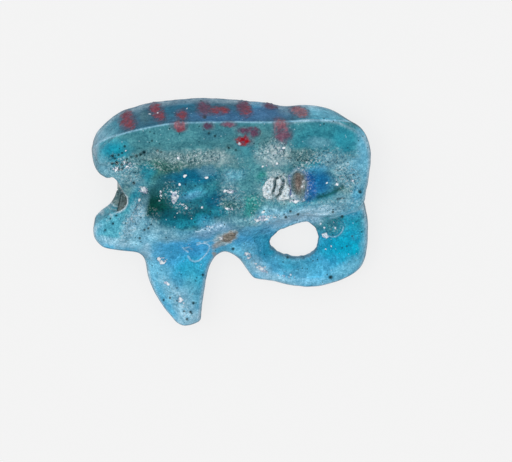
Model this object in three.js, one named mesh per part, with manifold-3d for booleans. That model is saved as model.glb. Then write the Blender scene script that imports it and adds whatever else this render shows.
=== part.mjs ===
// A wedjat eye amulet of glazed faience, lying on its flat back.
// Millimetres. +X runs along the eye to the curl's end, +Y runs up to the brow, and +Z comes out of the face.
// The origin is the middle of the outline, on the plane that the back rests on.
import * as THREE from "three";
import { mergeVertices } from "three/addons/utils/BufferGeometryUtils.js";
import Module from "manifold-3d";

const wasm = await Module();
wasm.setup();

// Driving sizes
const LENGTH = 22;
const HEIGHT = 18.6;
const FACE_LEVEL = 4.4;
const FACE_FALL = 1.1;
const FALL_START_SHARE = 0.05;
const FALL_END_SHARE = 0.45;
const LIMB_LEVEL = 2.5;
const RELIEF = 1.2;
const HOLE_RIM_LEVEL = 1.0;
const HOLE_FUNNEL = 1.0;
const EDGE_ROLL = 2.0;
const ROLL_DEPTH_SHARE = 0.6;
const ROLL_LIMIT_SHARE = 1.5;
const BROW_DRAFT = 0.38;
const BACK_ROUNDING = 0.35;
const BACK_ROUNDING_RISE = 0.6;
const ROUNDING_MIDDLE_SHARE = 0.4;
const CORNER_LEAN = 1.0;
const CORNER_RISE = 2.2;
const CORNER_REACH = 2.8;
const STEP_WIDE = 1.5;
const STEP_NARROW = 0.45;

// The glaze and what lies on it
const GLAZE_WALL = 0.45;
const GLAZE_GAP = 0.05;
const GLAZE_LIFT = 0.05;
const DAB_THICKNESS = 0.1;
const DAB_GAP = 0.03;
const DAB_REACH = 0.6;
const CRUST_THICKNESS = 0.25;

// The string hole and the two places where the glaze has gone
const BORE_RADIUS = 0.8;
const BORE_LEVEL = 1.85;
const MOUTH_LEVEL = 2.9;
const MOUTH_RADIUS = 1.25;
const MOUTH_DEPTH = 1.7;
const MOUTH_RISE = 2.1;
const MOUTH_CORE_STEP = 0.3;
const PIT_WIDTH = 1.1;
const PIT_HEIGHT = 1.9;
const BARE_WIDTH = 1.9;
const BARE_HEIGHT = 1.5;
const WINDOW_DEPTH = 1.6;
const OVERRUN = 1;
const JOINING_REACH = 0.0001;

// Counts of steps in the surfaces
const RIM_STEPS = 120;
const HOLE_STEPS = 24;
const GRID_COLUMNS = 38;
const GRID_ROWS = 33;
const ROUND_STEPS = 16;
const DAB_STEPS = 10;

// The outline, clockwise from the left end of the brow. Each row is a place along LENGTH, a place up HEIGHT,
// and how far the front edge rolls over there, as a share of EDGE_ROLL.
const RIM_SHARES = [
  [0.003, 0.79, 0.5], [0.009, 0.819, 0.25], [0.027, 0.857, 0.12], [0.064, 0.903, 0.08],
  [0.109, 0.94, 0.06], [0.15, 0.958, 0.06], [0.219, 0.98, 0.06], [0.322, 0.994, 0.06],
  [0.405, 1, 0.06], [0.493, 0.994, 0.06], [0.583, 0.985, 0.06], [0.627, 0.981, 0.06],
  [0.667, 0.971, 0.06], [0.703, 0.967, 0.06], [0.771, 0.973, 0.06], [0.824, 0.969, 0.08],
  [0.872, 0.958, 0.1], [0.907, 0.941, 0.15], [0.935, 0.923, 0.25], [0.96, 0.902, 0.4],
  [0.979, 0.876, 0.45], [0.994, 0.836, 0.45], [1, 0.788, 0.45], [0.999, 0.74, 0.45],
  [0.994, 0.685, 0.45], [0.987, 0.631, 0.4], [0.981, 0.586, 0.35], [0.98, 0.557, 0.3],
  [0.987, 0.521, 0.45], [0.994, 0.476, 0.5], [0.996, 0.428, 0.55], [0.995, 0.371, 0.55],
  [0.988, 0.312, 0.55], [0.97, 0.262, 0.55], [0.937, 0.228, 0.55], [0.888, 0.2, 0.55],
  [0.827, 0.18, 0.5], [0.773, 0.174, 0.5], [0.717, 0.182, 0.5], [0.642, 0.203, 0.5],
  [0.598, 0.214, 0.45], [0.578, 0.226, 0.4], [0.552, 0.267, 0.45], [0.53, 0.303, 0.5],
  [0.502, 0.329, 0.5], [0.475, 0.336, 0.5], [0.449, 0.322, 0.45], [0.43, 0.29, 0.4],
  [0.418, 0.25, 0.4], [0.41, 0.202, 0.4], [0.402, 0.143, 0.4], [0.396, 0.089, 0.4],
  [0.392, 0.053, 0.4], [0.39, 0.028, 0.4], [0.369, 0.01, 0.4], [0.333, 0, 0.4],
  [0.302, 0.014, 0.45], [0.273, 0.053, 0.5], [0.245, 0.1, 0.5], [0.222, 0.151, 0.5],
  [0.204, 0.204, 0.5], [0.197, 0.24, 0.5], [0.191, 0.282, 0.55], [0.179, 0.321, 0.6],
  [0.156, 0.346, 0.65], [0.125, 0.357, 0.7], [0.082, 0.367, 0.75], [0.043, 0.386, 0.75],
  [0.017, 0.411, 0.75], [0.007, 0.441, 0.75], [0.01, 0.473, 0.7], [0.029, 0.5, 0.6],
  [0.054, 0.523, 0.5], [0.072, 0.546, 0.4], [0.085, 0.577, 0.4], [0.092, 0.62, 0.45],
  [0.088, 0.663, 0.6], [0.065, 0.69, 0.75], [0.033, 0.71, 0.9], [0.011, 0.733, 0.95],
  [0, 0.765, 1],
];

// The hole inside the curl, as places along LENGTH and up HEIGHT.
const HOLE_SHARES = [
  [0.642, 0.368], [0.665, 0.409], [0.703, 0.432], [0.74, 0.447], [0.773, 0.455],
  [0.797, 0.44], [0.811, 0.409], [0.817, 0.369], [0.809, 0.332], [0.788, 0.306],
  [0.76, 0.294], [0.731, 0.293], [0.698, 0.302], [0.664, 0.322], [0.643, 0.344],
];

// The lower edge of the eye's body, above the drop and the curl.
const BODY_EDGE_SHARES = [
  [-0.1, 0.3], [0.133, 0.34], [0.247, 0.38], [0.355, 0.41], [0.444, 0.415], [0.534, 0.435],
  [0.613, 0.465], [0.713, 0.49], [0.796, 0.505], [0.875, 0.522], [0.935, 0.54], [0.98, 0.57], [1.1, 0.6],
];

// Raised and sunk lines: height as a share of RELIEF, half-width as a share of LENGTH, and the line's places.
const LINE_SHARES = [
  { heightShare: 0.12, widthShare: 0.05, placeShares: [[0.05, 0.84], [0.12, 0.9], [0.28, 0.93], [0.82, 0.93]] },
  { heightShare: -0.22, widthShare: 0.02, placeShares: [[0.06, 0.77], [0.11, 0.81], [0.18, 0.835], [0.5, 0.853]] },
  { heightShare: 0.15, widthShare: 0.025, placeShares: [[0.11, 0.73], [0.18, 0.776], [0.27, 0.8], [0.52, 0.78]] },
  { heightShare: 0.2, widthShare: 0.02, placeShares: [[0.185, 0.665], [0.16, 0.605], [0.13, 0.52], [0.085, 0.41]] },
  { heightShare: -0.35, widthShare: 0.035, placeShares: [[0.1, 0.6], [0.08, 0.53], [0.03, 0.45]] },
  { heightShare: 0.22, widthShare: 0.03, placeShares: [[0.2, 0.46], [0.36, 0.48], [0.48, 0.51], [0.64, 0.544]] },
  { heightShare: 0.25, widthShare: 0.03, placeShares: [[0.64, 0.544], [0.77, 0.576], [0.88, 0.605], [0.95, 0.63]] },
  { heightShare: 0.35, widthShare: 0.035, placeShares: [[0.237, 0.335], [0.255, 0.28], [0.28, 0.21], [0.34, 0.07]] },
  { heightShare: 0.25, widthShare: 0.03, placeShares: [[0.552, 0.35], [0.585, 0.3], [0.63, 0.27], [0.71, 0.24]] },
  { heightShare: 0.25, widthShare: 0.03, placeShares: [[0.71, 0.24], [0.82, 0.245], [0.91, 0.3], [0.955, 0.4]] },
];

// Hollows and bosses: height as a share of RELIEF, the middle, the two half-widths as shares of LENGTH,
// and the turn in degrees.
const BOWL_SHARES = [
  { heightShare: -0.9, middleShares: [0.348, 0.612], halfShares: [0.15, 0.075], turn: 4 },
  { heightShare: 0.95, middleShares: [0.369, 0.639], halfShares: [0.07, 0.035], turn: 3 },
  { heightShare: -0.3, middleShares: [0.262, 0.544], halfShares: [0.06, 0.045], turn: -20 },
  { heightShare: -0.5, middleShares: [0.814, 0.675], halfShares: [0.12, 0.06], turn: 5 },
  { heightShare: -0.25, middleShares: [0.746, 0.68], halfShares: [0.03, 0.045], turn: 0 },
  { heightShare: -0.25, middleShares: [0.878, 0.468], halfShares: [0.035, 0.035], turn: 0 },
  { heightShare: -2.2, middleShares: [-0.002, 0.85], halfShares: [0.03, 0.08], turn: 0 },
];

// Red dabs on the brow's top side: place along LENGTH, level as a share of FACE_LEVEL, then the width and
// the rise as shares of LENGTH and FACE_LEVEL.
const TOP_DAB_SHARES = [
  [0.129, 0.45, 0.047, 0.7], [0.237, 0.45, 0.044, 0.72], [0.323, 0.58, 0.033, 0.4],
  [0.405, 0.45, 0.04, 0.62], [0.464, 0.48, 0.06, 0.34], [0.548, 0.4, 0.044, 0.64],
  [0.642, 0.2, 0.038, 0.24], [0.747, 0.4, 0.062, 0.44],
];

// Red dabs on the brow's face: places along LENGTH and up HEIGHT, then width and height as shares of LENGTH.
const FACE_DAB_SHARES = [
  [0.315, 0.962, 0.04, 0.036], [0.421, 0.966, 0.03, 0.026], [0.491, 0.97, 0.042, 0.016],
  [0.56, 0.93, 0.066, 0.044], [0.685, 0.94, 0.056, 0.078],
];

// Plates of white crust in the right-hand hollow: corners as places along LENGTH and up HEIGHT.
const CRUST_SHARES = {
  crust_left: [[0.618, 0.63], [0.626, 0.68], [0.65, 0.715], [0.655, 0.68], [0.652, 0.62]],
  crust_middle: [[0.662, 0.622], [0.664, 0.68], [0.66, 0.72], [0.682, 0.71], [0.678, 0.67], [0.676, 0.62]],
  crust_right: [[0.686, 0.62], [0.688, 0.67], [0.692, 0.705], [0.71, 0.675], [0.712, 0.63]],
};

// The brow's right corner, then the middles of the string hole's mouth, the brown pit and the bare patch.
const CORNER_SHARES = [0.94, 0.93];
const MOUTH_SHARES = [0.07, 0.615];
const PIT_SHARES = [0.746, 0.68];
const BARE_SHARES = [0.478, 0.395];

const LOOKS = {
  core: { color: 0x86705f, roughness: 0.85 },
  glaze: { color: 0x3f9bb3, roughness: 0.2 },
  dab: { color: 0xa6343f, roughness: 0.3 },
  crust: { color: 0xd3e0e4, roughness: 0.7 },
};

function place([along, up]) {
  return new THREE.Vector2((along - 1 / 2) * LENGTH, (up - 1 / 2) * HEIGHT);
}

function smoothstep(low, high, value) {
  return THREE.MathUtils.smoothstep(value, low, high);
}

// A closed smooth line through rows of shares; its third coordinate carries the roll.
function closedLine(rows, steps) {
  const points = rows.map(([along, up, roll = 0]) => {
    const { x, y } = place([along, up]);
    return new THREE.Vector3(x, y, roll * EDGE_ROLL);
  });
  const line = new THREE.CatmullRomCurve3(points, true, "centripetal");
  return line.getSpacedPoints(steps).slice(0, steps);
}

// Stretches a line's points so that they span LENGTH and HEIGHT exactly.
function fitToOutline(points) {
  const box = new THREE.Box3().setFromPoints(points);
  const middle = box.getCenter(new THREE.Vector3());
  const span = box.getSize(new THREE.Vector3());
  for (const point of points) {
    point.x = (point.x - middle.x) * LENGTH / span.x;
    point.y = (point.y - middle.y) * HEIGHT / span.y;
  }
  return points;
}

// The way into the material at each point of a clockwise line.
function inwardNormals(points) {
  return points.map((point, index) => {
    const before = points.at(index - 1);
    const after = points[(index + 1) % points.length];
    const along = new THREE.Vector2(after.x - before.x, after.y - before.y).normalize();
    return new THREE.Vector2(along.y, -along.x);
  });
}

const rim = fitToOutline(closedLine(RIM_SHARES, RIM_STEPS));
const rimInward = inwardNormals(rim);
const hole = closedLine(HOLE_SHARES, HOLE_STEPS);
const holeInward = inwardNormals(hole).map((normal) => normal.negate());

// The flat face between the outline and the hole, as triangles of numbered points, turned to face +Z.
const outlineFaces = THREE.ShapeUtils.triangulateShape(rim, [hole]);

// The distance from a place to a line, and how far along it the nearest point lies.
function nearestOnLine(x, y, line, closed) {
  let best = { distance: Infinity };
  const count = closed ? line.length : line.length - 1;
  for (let index = 0; index < count; index += 1) {
    const start = line[index];
    const end = line[(index + 1) % line.length];
    const spanX = end.x - start.x;
    const spanY = end.y - start.y;
    const along = ((x - start.x) * spanX + (y - start.y) * spanY) / (spanX * spanX + spanY * spanY);
    const share = THREE.MathUtils.clamp(along, 0, 1);
    const distance = Math.hypot(x - start.x - share * spanX, y - start.y - share * spanY);
    if (distance < best.distance) {
      best = { distance, start, end, share };
    }
  }
  return best;
}

const bodyEdge = BODY_EDGE_SHARES.map(place);

function bodyEdgeHeight(x) {
  const after = Math.max(1, bodyEdge.findIndex((point) => point.x > x));
  const start = bodyEdge[after - 1];
  const end = bodyEdge[after];
  return THREE.MathUtils.mapLinear(x, start.x, end.x, start.y, end.y);
}

function linesRelief(x, y) {
  let sum = 0;
  for (const { heightShare, widthShare, placeShares } of LINE_SHARES) {
    const { distance } = nearestOnLine(x, y, placeShares.map(place), false);
    sum += heightShare * RELIEF * Math.exp(-((distance / (widthShare * LENGTH)) ** 2));
  }
  return sum;
}

function bowlsRelief(x, y) {
  let sum = 0;
  for (const { heightShare, middleShares, halfShares, turn } of BOWL_SHARES) {
    const offset = new THREE.Vector2(x, y).sub(place(middleShares));
    offset.rotateAround(new THREE.Vector2(), -THREE.MathUtils.degToRad(turn));
    const [halfAlong, halfUp] = halfShares;
    const reach = (offset.x / (halfAlong * LENGTH)) ** 2 + (offset.y / (halfUp * LENGTH)) ** 2;
    sum += heightShare * RELIEF * Math.exp(-reach);
  }
  return sum;
}

// How much of the front edge is lost where it rolls over, at a distance in from the outline.
function rollDrop(distance, roll) {
  const outward = THREE.MathUtils.clamp(1 - distance / roll, 0, ROLL_LIMIT_SHARE);
  return ROLL_DEPTH_SHARE * roll * outward ** 2;
}

function isInside(x, y, line) {
  let inside = false;
  line.forEach((point, index) => {
    const before = line.at(index - 1);
    const crosses = (point.y > y) !== (before.y > y);
    if (crosses && x < THREE.MathUtils.mapLinear(y, point.y, before.y, point.x, before.x)) {
      inside = !inside;
    }
  });
  return inside;
}

// The level of the glazed front surface above the back.
function frontLevel(x, y) {
  const fall = FACE_FALL * smoothstep(LENGTH * FALL_START_SHARE, LENGTH * FALL_END_SHARE, x);
  const stepWidth = THREE.MathUtils.lerp(STEP_WIDE, STEP_NARROW, smoothstep(0, LENGTH / 4, x));
  const edge = bodyEdgeHeight(x);
  const onBody = smoothstep(edge - stepWidth, edge + stepWidth, y);
  let level = THREE.MathUtils.lerp(LIMB_LEVEL, FACE_LEVEL - fall, onBody);
  level += linesRelief(x, y) + bowlsRelief(x, y);
  const holeDistance = isInside(x, y, hole) ? 0 : nearestOnLine(x, y, hole, true).distance;
  level -= (level - HOLE_RIM_LEVEL) * Math.exp(-((holeDistance / HOLE_FUNNEL) ** 2));
  const nearest = nearestOnLine(x, y, rim, true);
  const roll = THREE.MathUtils.lerp(nearest.start.z, nearest.end.z, nearest.share);
  const rimDistance = isInside(x, y, rim) ? nearest.distance : -nearest.distance;
  return Math.max(level - rollDrop(rimDistance, roll), GLAZE_WALL * 2);
}

// Turns a closed geometry into a solid that can be joined and cut, and back.
function toSolid(geometry) {
  const bare = geometry.index ? geometry.toNonIndexed() : geometry.clone();
  bare.deleteAttribute("normal");
  bare.deleteAttribute("uv");
  const merged = mergeVertices(bare, JOINING_REACH);
  const mesh = new wasm.Mesh({
    numProp: 3,
    vertProperties: new Float32Array(merged.attributes.position.array),
    triVerts: new Uint32Array(merged.index.array),
  });
  return new wasm.Manifold(mesh);
}

function toGeometry(solid) {
  const mesh = solid.getMesh();
  const geometry = new THREE.BufferGeometry();
  geometry.setAttribute("position", new THREE.BufferAttribute(new Float32Array(mesh.vertProperties), 3));
  geometry.setIndex(new THREE.BufferAttribute(new Uint32Array(mesh.triVerts), 1));
  const flat = geometry.toNonIndexed();
  flat.computeVertexNormals();
  return flat;
}

function geometryFrom(positions, triangles) {
  const geometry = new THREE.BufferGeometry();
  geometry.setAttribute("position", new THREE.Float32BufferAttribute(positions, 3));
  geometry.setIndex(triangles);
  return geometry;
}

// A block whose top is the front surface, lowered by a depth or raised where the depth is negative.
function frontBlock(depth, low) {
  const positions = [];
  const triangles = [];
  const columns = GRID_COLUMNS + 1;
  const layer = columns * (GRID_ROWS + 1);
  const halfLength = LENGTH / 2 + OVERRUN;
  const halfHeight = HEIGHT / 2 + OVERRUN;
  for (const isTop of [true, false]) {
    for (let row = 0; row <= GRID_ROWS; row += 1) {
      for (let column = 0; column <= GRID_COLUMNS; column += 1) {
        const x = THREE.MathUtils.lerp(-halfLength, halfLength, column / GRID_COLUMNS);
        const y = THREE.MathUtils.lerp(-halfHeight, halfHeight, row / GRID_ROWS);
        positions.push(x, y, isTop ? frontLevel(x, y) - depth : low);
      }
    }
  }
  for (let row = 0; row < GRID_ROWS; row += 1) {
    for (let column = 0; column < GRID_COLUMNS; column += 1) {
      const a = row * columns + column;
      const b = a + 1;
      const c = a + columns;
      const d = c + 1;
      triangles.push(a, b, d, a, d, c);
      triangles.push(layer + a, layer + d, layer + b, layer + a, layer + c, layer + d);
    }
  }
  const wall = (from, to) => triangles.push(from, from + layer, to + layer, from, to + layer, to);
  for (let column = 0; column < GRID_COLUMNS; column += 1) {
    const last = GRID_ROWS * columns + column;
    wall(column, column + 1);
    wall(last + 1, last);
  }
  for (let row = 0; row < GRID_ROWS; row += 1) {
    const first = row * columns;
    wall(first + columns, first);
    wall(first + columns - 1, first + columns * 2 - 1);
  }
  return toSolid(geometryFrom(positions, triangles));
}

// How far the side wall stands in from the outline at the back and at the front.
function backInset(point) {
  const along = smoothstep(0, LENGTH / 3, point.x);
  const below = 1 - smoothstep(0, HEIGHT / 4, point.y);
  return BACK_ROUNDING * Math.max(along, below);
}

function frontInset(point) {
  const upper = smoothstep(HEIGHT / 4, HEIGHT / 3, point.y);
  return BROW_DRAFT * upper * (1 - smoothstep(0, LENGTH / 4, point.x));
}

// The brow's right corner leans in towards the back.
function cornerInset(point) {
  const distance = place(CORNER_SHARES).distanceTo(new THREE.Vector2(point.x, point.y));
  return CORNER_LEAN * Math.exp(-((distance / CORNER_REACH) ** 2));
}

// A block with the amulet's outline, moved in by an inset, that overruns the back and the front.
function outlineBlock(inset) {
  const high = FACE_LEVEL + RELIEF + OVERRUN;
  const levels = [
    { level: -OVERRUN * 2, backShare: 1 },
    { level: 0, backShare: 1 },
    { level: BACK_ROUNDING_RISE / 3, backShare: ROUNDING_MIDDLE_SHARE },
    { level: BACK_ROUNDING_RISE, backShare: 0 },
    { level: CORNER_RISE, backShare: 0 },
    { level: high, backShare: 0 },
  ];
  const positions = [];
  for (const { level, backShare } of levels) {
    const frontShare = Math.max(level - BACK_ROUNDING_RISE, 0) / (high - BACK_ROUNDING_RISE);
    const cornerShare = THREE.MathUtils.clamp(1 - level / CORNER_RISE, 0, 1);
    rim.forEach((point, index) => {
      const lean = frontShare * frontInset(point) + cornerShare * cornerInset(point);
      const shift = inset + backShare * backInset(point) + lean;
      positions.push(point.x + rimInward[index].x * shift, point.y + rimInward[index].y * shift, level);
    });
    hole.forEach((point, index) => {
      const shift = inset + backShare * BACK_ROUNDING;
      positions.push(point.x + holeInward[index].x * shift, point.y + holeInward[index].y * shift, level);
    });
  }
  const count = rim.length + hole.length;
  const triangles = [];
  const band = (first, length, isHole) => {
    for (let ring = 0; ring < levels.length - 1; ring += 1) {
      for (let index = 0; index < length; index += 1) {
        const a = ring * count + first + index;
        const b = ring * count + first + (index + 1) % length;
        const c = b + count;
        const d = a + count;
        triangles.push(...(isHole ? [a, b, c, a, c, d] : [a, c, b, a, d, c]));
      }
    }
  };
  band(0, rim.length, false);
  band(rim.length, hole.length, true);
  const top = (levels.length - 1) * count;
  for (const [a, b, c] of outlineFaces) {
    triangles.push(a, c, b, top + a, top + b, top + c);
  }
  return toSolid(geometryFrom(positions, triangles));
}

// The amulet's body above a level, with its surface moved in by an inset or out where the inset is negative.
function body(inset, low) {
  return outlineBlock(inset).intersect(frontBlock(inset, low));
}

function ellipsoid(x, y, z, halfX, halfY, halfZ, steps = ROUND_STEPS) {
  const geometry = new THREE.SphereGeometry(1, steps, steps / 2);
  geometry.scale(halfX, halfY, halfZ);
  geometry.translate(x, y, z);
  return toSolid(geometry);
}

function stringHole(radius) {
  const geometry = new THREE.CylinderGeometry(radius, radius, LENGTH + OVERRUN * 2, ROUND_STEPS);
  geometry.rotateZ(Math.PI / 2);
  geometry.translate(0, place(MOUTH_SHARES).y, BORE_LEVEL);
  return toSolid(geometry);
}

// The flared mouth of the string hole in the left notch.
function mouth(step) {
  const { x, y } = place(MOUTH_SHARES);
  return ellipsoid(x, y, MOUTH_LEVEL, MOUTH_DEPTH - step, MOUTH_RADIUS - step / 2, MOUTH_RISE - step);
}

function makeCore() {
  const inset = GLAZE_WALL + GLAZE_GAP;
  return body(inset, 0).subtract(stringHole(BORE_RADIUS)).subtract(mouth(MOUTH_CORE_STEP));
}

function makeGlaze() {
  const pit = place(PIT_SHARES);
  const bare = place(BARE_SHARES);
  const bareLevel = frontLevel(bare.x, bare.y);
  return body(0, GLAZE_LIFT)
    .subtract(body(GLAZE_WALL, -OVERRUN))
    .subtract(stringHole(BORE_RADIUS + GLAZE_GAP))
    .subtract(mouth(0))
    .subtract(ellipsoid(pit.x, pit.y, frontLevel(pit.x, pit.y), PIT_WIDTH / 2, PIT_HEIGHT / 2, WINDOW_DEPTH))
    .subtract(ellipsoid(bare.x, bare.y, bareLevel, BARE_WIDTH / 2, BARE_HEIGHT / 2, WINDOW_DEPTH));
}

// A thin layer that follows the glazed surface.
function layer(thickness) {
  return body(-DAB_GAP - thickness, GLAZE_LIFT * 2).subtract(body(-DAB_GAP, GLAZE_LIFT));
}

// The brow's top edge at a place along the amulet.
function browEdgeHeight(x) {
  const upper = rim.filter((point) => point.y > HEIGHT / 4);
  return upper.reduce((near, point) => (Math.abs(point.x - x) < Math.abs(near.x - x) ? point : near)).y;
}

function topDabCutter([along, levelShare, widthShare, riseShare]) {
  const { x } = place([along, 0]);
  const level = levelShare * FACE_LEVEL;
  const y = browEdgeHeight(x) - BROW_DRAFT * levelShare;
  return ellipsoid(x, y, level, widthShare * LENGTH / 2, DAB_REACH, riseShare * FACE_LEVEL / 2, DAB_STEPS);
}

function faceDabCutter([along, up, widthShare, heightShare]) {
  const { x, y } = place([along, up]);
  const level = frontLevel(x, y);
  return ellipsoid(x, y, level, widthShare * LENGTH / 2, heightShare * LENGTH / 2, DAB_REACH, DAB_STEPS);
}

function crustCutter(corners) {
  const shape = new THREE.Shape(corners.map(place));
  const geometry = new THREE.ExtrudeGeometry(shape, { depth: FACE_LEVEL, bevelEnabled: false });
  geometry.translate(0, 0, LIMB_LEVEL / 2);
  return toSolid(geometry);
}

const amulet = new THREE.Group();

function addPiece(name, solid, look) {
  const material = new THREE.MeshStandardMaterial({ ...look, metalness: 0 });
  const mesh = new THREE.Mesh(toGeometry(solid), material);
  mesh.name = name;
  amulet.add(mesh);
}

addPiece("core", makeCore(), LOOKS.core);
addPiece("glaze", makeGlaze(), LOOKS.glaze);

const dabLayer = layer(DAB_THICKNESS);
const dabCutters = [...TOP_DAB_SHARES.map(topDabCutter), ...FACE_DAB_SHARES.map(faceDabCutter)];
dabCutters.forEach((cutter, index) => {
  const name = `brow_spot_${String(index + 1).padStart(2, "0")}`;
  addPiece(name, dabLayer.intersect(cutter), LOOKS.dab);
});

const crustLayer = layer(CRUST_THICKNESS);
for (const [name, corners] of Object.entries(CRUST_SHARES)) {
  addPiece(name, crustLayer.intersect(crustCutter(corners)), LOOKS.crust);
}

export default amulet;
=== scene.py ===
import math

import bpy
import numpy as np
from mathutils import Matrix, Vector


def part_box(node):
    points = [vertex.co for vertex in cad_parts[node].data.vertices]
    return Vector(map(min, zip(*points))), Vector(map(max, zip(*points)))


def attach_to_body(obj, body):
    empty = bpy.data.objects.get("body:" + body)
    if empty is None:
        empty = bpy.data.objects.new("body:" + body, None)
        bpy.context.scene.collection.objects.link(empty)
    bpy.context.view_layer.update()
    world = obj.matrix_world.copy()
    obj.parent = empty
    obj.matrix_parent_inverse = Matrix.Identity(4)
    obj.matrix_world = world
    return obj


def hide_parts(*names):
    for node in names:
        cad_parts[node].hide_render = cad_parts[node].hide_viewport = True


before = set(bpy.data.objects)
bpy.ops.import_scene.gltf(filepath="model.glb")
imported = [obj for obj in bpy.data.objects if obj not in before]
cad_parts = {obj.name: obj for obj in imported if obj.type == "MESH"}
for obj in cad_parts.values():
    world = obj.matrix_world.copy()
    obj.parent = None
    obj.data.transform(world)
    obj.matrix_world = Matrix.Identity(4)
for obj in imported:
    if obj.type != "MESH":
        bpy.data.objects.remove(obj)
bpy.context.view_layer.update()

# Sizes in millimetres, and shares where a name says so. The outline fills the glaze's box in the frame.
MM = 0.001
GLAZE_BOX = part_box("glaze")
LENGTH = (GLAZE_BOX[1][0] - GLAZE_BOX[0][0]) / MM
HEIGHT = (GLAZE_BOX[1][1] - GLAZE_BOX[0][1]) / MM
CEILING_GAP = 0.02
HIGHEST = GLAZE_BOX[1][2] / MM - CEILING_GAP
CEILING_BLEND = 0.2
FACE_LEVEL = 4.4
FACE_FALL = 1.1
FALL_SHARES = (0.05, 0.45)
LIMB_LEVEL = 2.5
RELIEF = 1.2
HOLE_RIM_LEVEL = 1.0
HOLE_FUNNEL = 1.3
HOLE_ROLL = 0.3
EDGE_ROLL = 2.0
ROLL_LEVEL_SHARE = 0.8
BROW_DRAFT = 0.5
BACK_ROUNDING = 0.35
LEAST_ROUNDING = 0.06
CORNER_SHARES = (0.94, 0.93)
CORNER_LEAN = 0.5
CORNER_RISE = 2.2
CORNER_REACH = 2.0
GLAZE_WALL = 0.45
GLAZE_GAP = 0.03
GLAZE_LIFT = 0.06
FLUSH_WALL = 0.045
GAP_REACH = (0.1, 0.6)
BORE_RADIUS = 0.8
BORE_LEVEL = 1.85
BORE_BLEND = 0.15
MOUTH_SHARES = (0.07, 0.615)
MOUTH_LEVEL = 2.9
MOUTH_HALVES = (1.7, 1.25, 2.1)
MOUTH_STEP = 0.3
POCKET_DEPTH = 1.5
STEP_WIDE = 1.5
STEP_NARROW = 0.45
DAB_GAP = 0.008
DAB_THICKNESS = 0.022
CRUST_THICKNESS = 0.17
RIM_TRIM = 0.02
SHEET_EDGE_SHARE = 0.1
LUMP_SHARE = 0.25
LUMP_SIZE = 0.25
FRAYED_SIZES = (0.4, 0.18)

# Bevels in the photograph's pixels.
POCKET_LIP = 3.0
PLATE_BEVEL = 3.5

# As parts of a patch's reach, which is 1 on its edge.
BLISTER_RING = 0.12
BORDER_REACH = 1.3
DAB_FRAY = 0.14
CRUST_FRAY = 0.08

# Strengths, and how firmly lobes run together and a patch has to face the camera.
FROST_AND_SPARKLE_SHARE = 0.75
GLINT_MARK = 1.6
LOBE_BLEND = 4
FACING_LEAST = 0.1

# Where something starts and where it is full, as a reach from a patch's middle, where 1 is on its edge.
PATCH_FADE = (1.35, 0.45)
STROKE_FADE = (1.45, 0.35)
GLINT_FADE = (1.25, 0.5)
PIT_FADE = (1.9, 0.7)
BLISTER_FADE = (1.0, 0.75)
WALL_FADE = (1.25, 0.85)
CORE_WALL_FADE = (1.9, 0.95)
SHEET_FADE = (1.0, 0.6)
STAIN_FADE = (1.4, 0.8)
RED_FADE = (1.0, 0.4)
CRUST_FADE = (1.05, 0.55)

# The camera looks down on the brow's top side.
TILT = math.radians(20)
TOWARD_CAMERA = (0, math.sin(TILT), math.cos(TILT))
PHOTO_PIXELS = (512, 462)
PHOTO_LENGTH = 279
PHOTO_SCALE = LENGTH / PHOTO_LENGTH
PHOTO_MIDDLE = (PHOTO_PIXELS[0] / 2, PHOTO_PIXELS[1] / 2)
MIDDLE_U = 230.5
MIDDLE_V = 208.5
MIDDLE_DEPTH = FACE_LEVEL / 2 * math.cos(TILT)
LENS = 200
SENSOR = 36
CAMERA_DISTANCE = PHOTO_PIXELS[0] * PHOTO_SCALE * LENS / SENSOR

# Grid steps in millimetres, then counts, and the seeds of the noise.
SKIN_STEP = 0.08
CORE_STEP = 0.11
DAB_STEP = 0.05
PAD_STEPS = 4
SETTLE_ROUNDS = 2
FARTHEST_SHIFT = 0.5
TINY = 1e-9
RIM_STEPS = 420
HOLE_STEPS = 120
NOISE_TABLE = 256
NOISE_SHIFT = 1000
DAB_SEED = 100
CRUST_SEED = 200
SEED_STEP = 4
LUMP_SEED = 210

# Noise, as layers of strength, feature size and seed. Glints are sized in pixels, the rest in millimetres.
WAVES = {
    "roughness": [(0.03, 0.32, 11), (0.03, 0.19, 12)],
    "swell": [(0.025, 1.1, 13), (0.006, 0.35, 14)],
    "hole edge": [(0.05, 0.35, 21), (0.03, 0.17, 22)],
    "rim edge": [(0.02, 0.5, 23)],
    "bare edge": [(0.12, 0.3, 31), (0.1, 0.14, 32)],
    "colour across": [(3, 1.2, 51), (1.6, 0.5, 52), (0.9, 0.22, 53)],
    "colour down": [(3, 1.2, 54), (1.6, 0.5, 55), (0.9, 0.22, 56)],
    "broken line": [(1, 0.2, 57)],
    "hole line": [(0.05, 0.25, 58)],
    "pit edge": [(0.15, 0.16, 59)],
    "patch edge": [(0.3, 0.25, 61)],
    "streaks": [(1, 0.3, 62)],
    "stain edge": [(0.2, 0.3, 63)],
    "glint across": [(0.7, 1.3, 64)],
    "glint down": [(0.7, 1.3, 65)],
}

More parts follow.
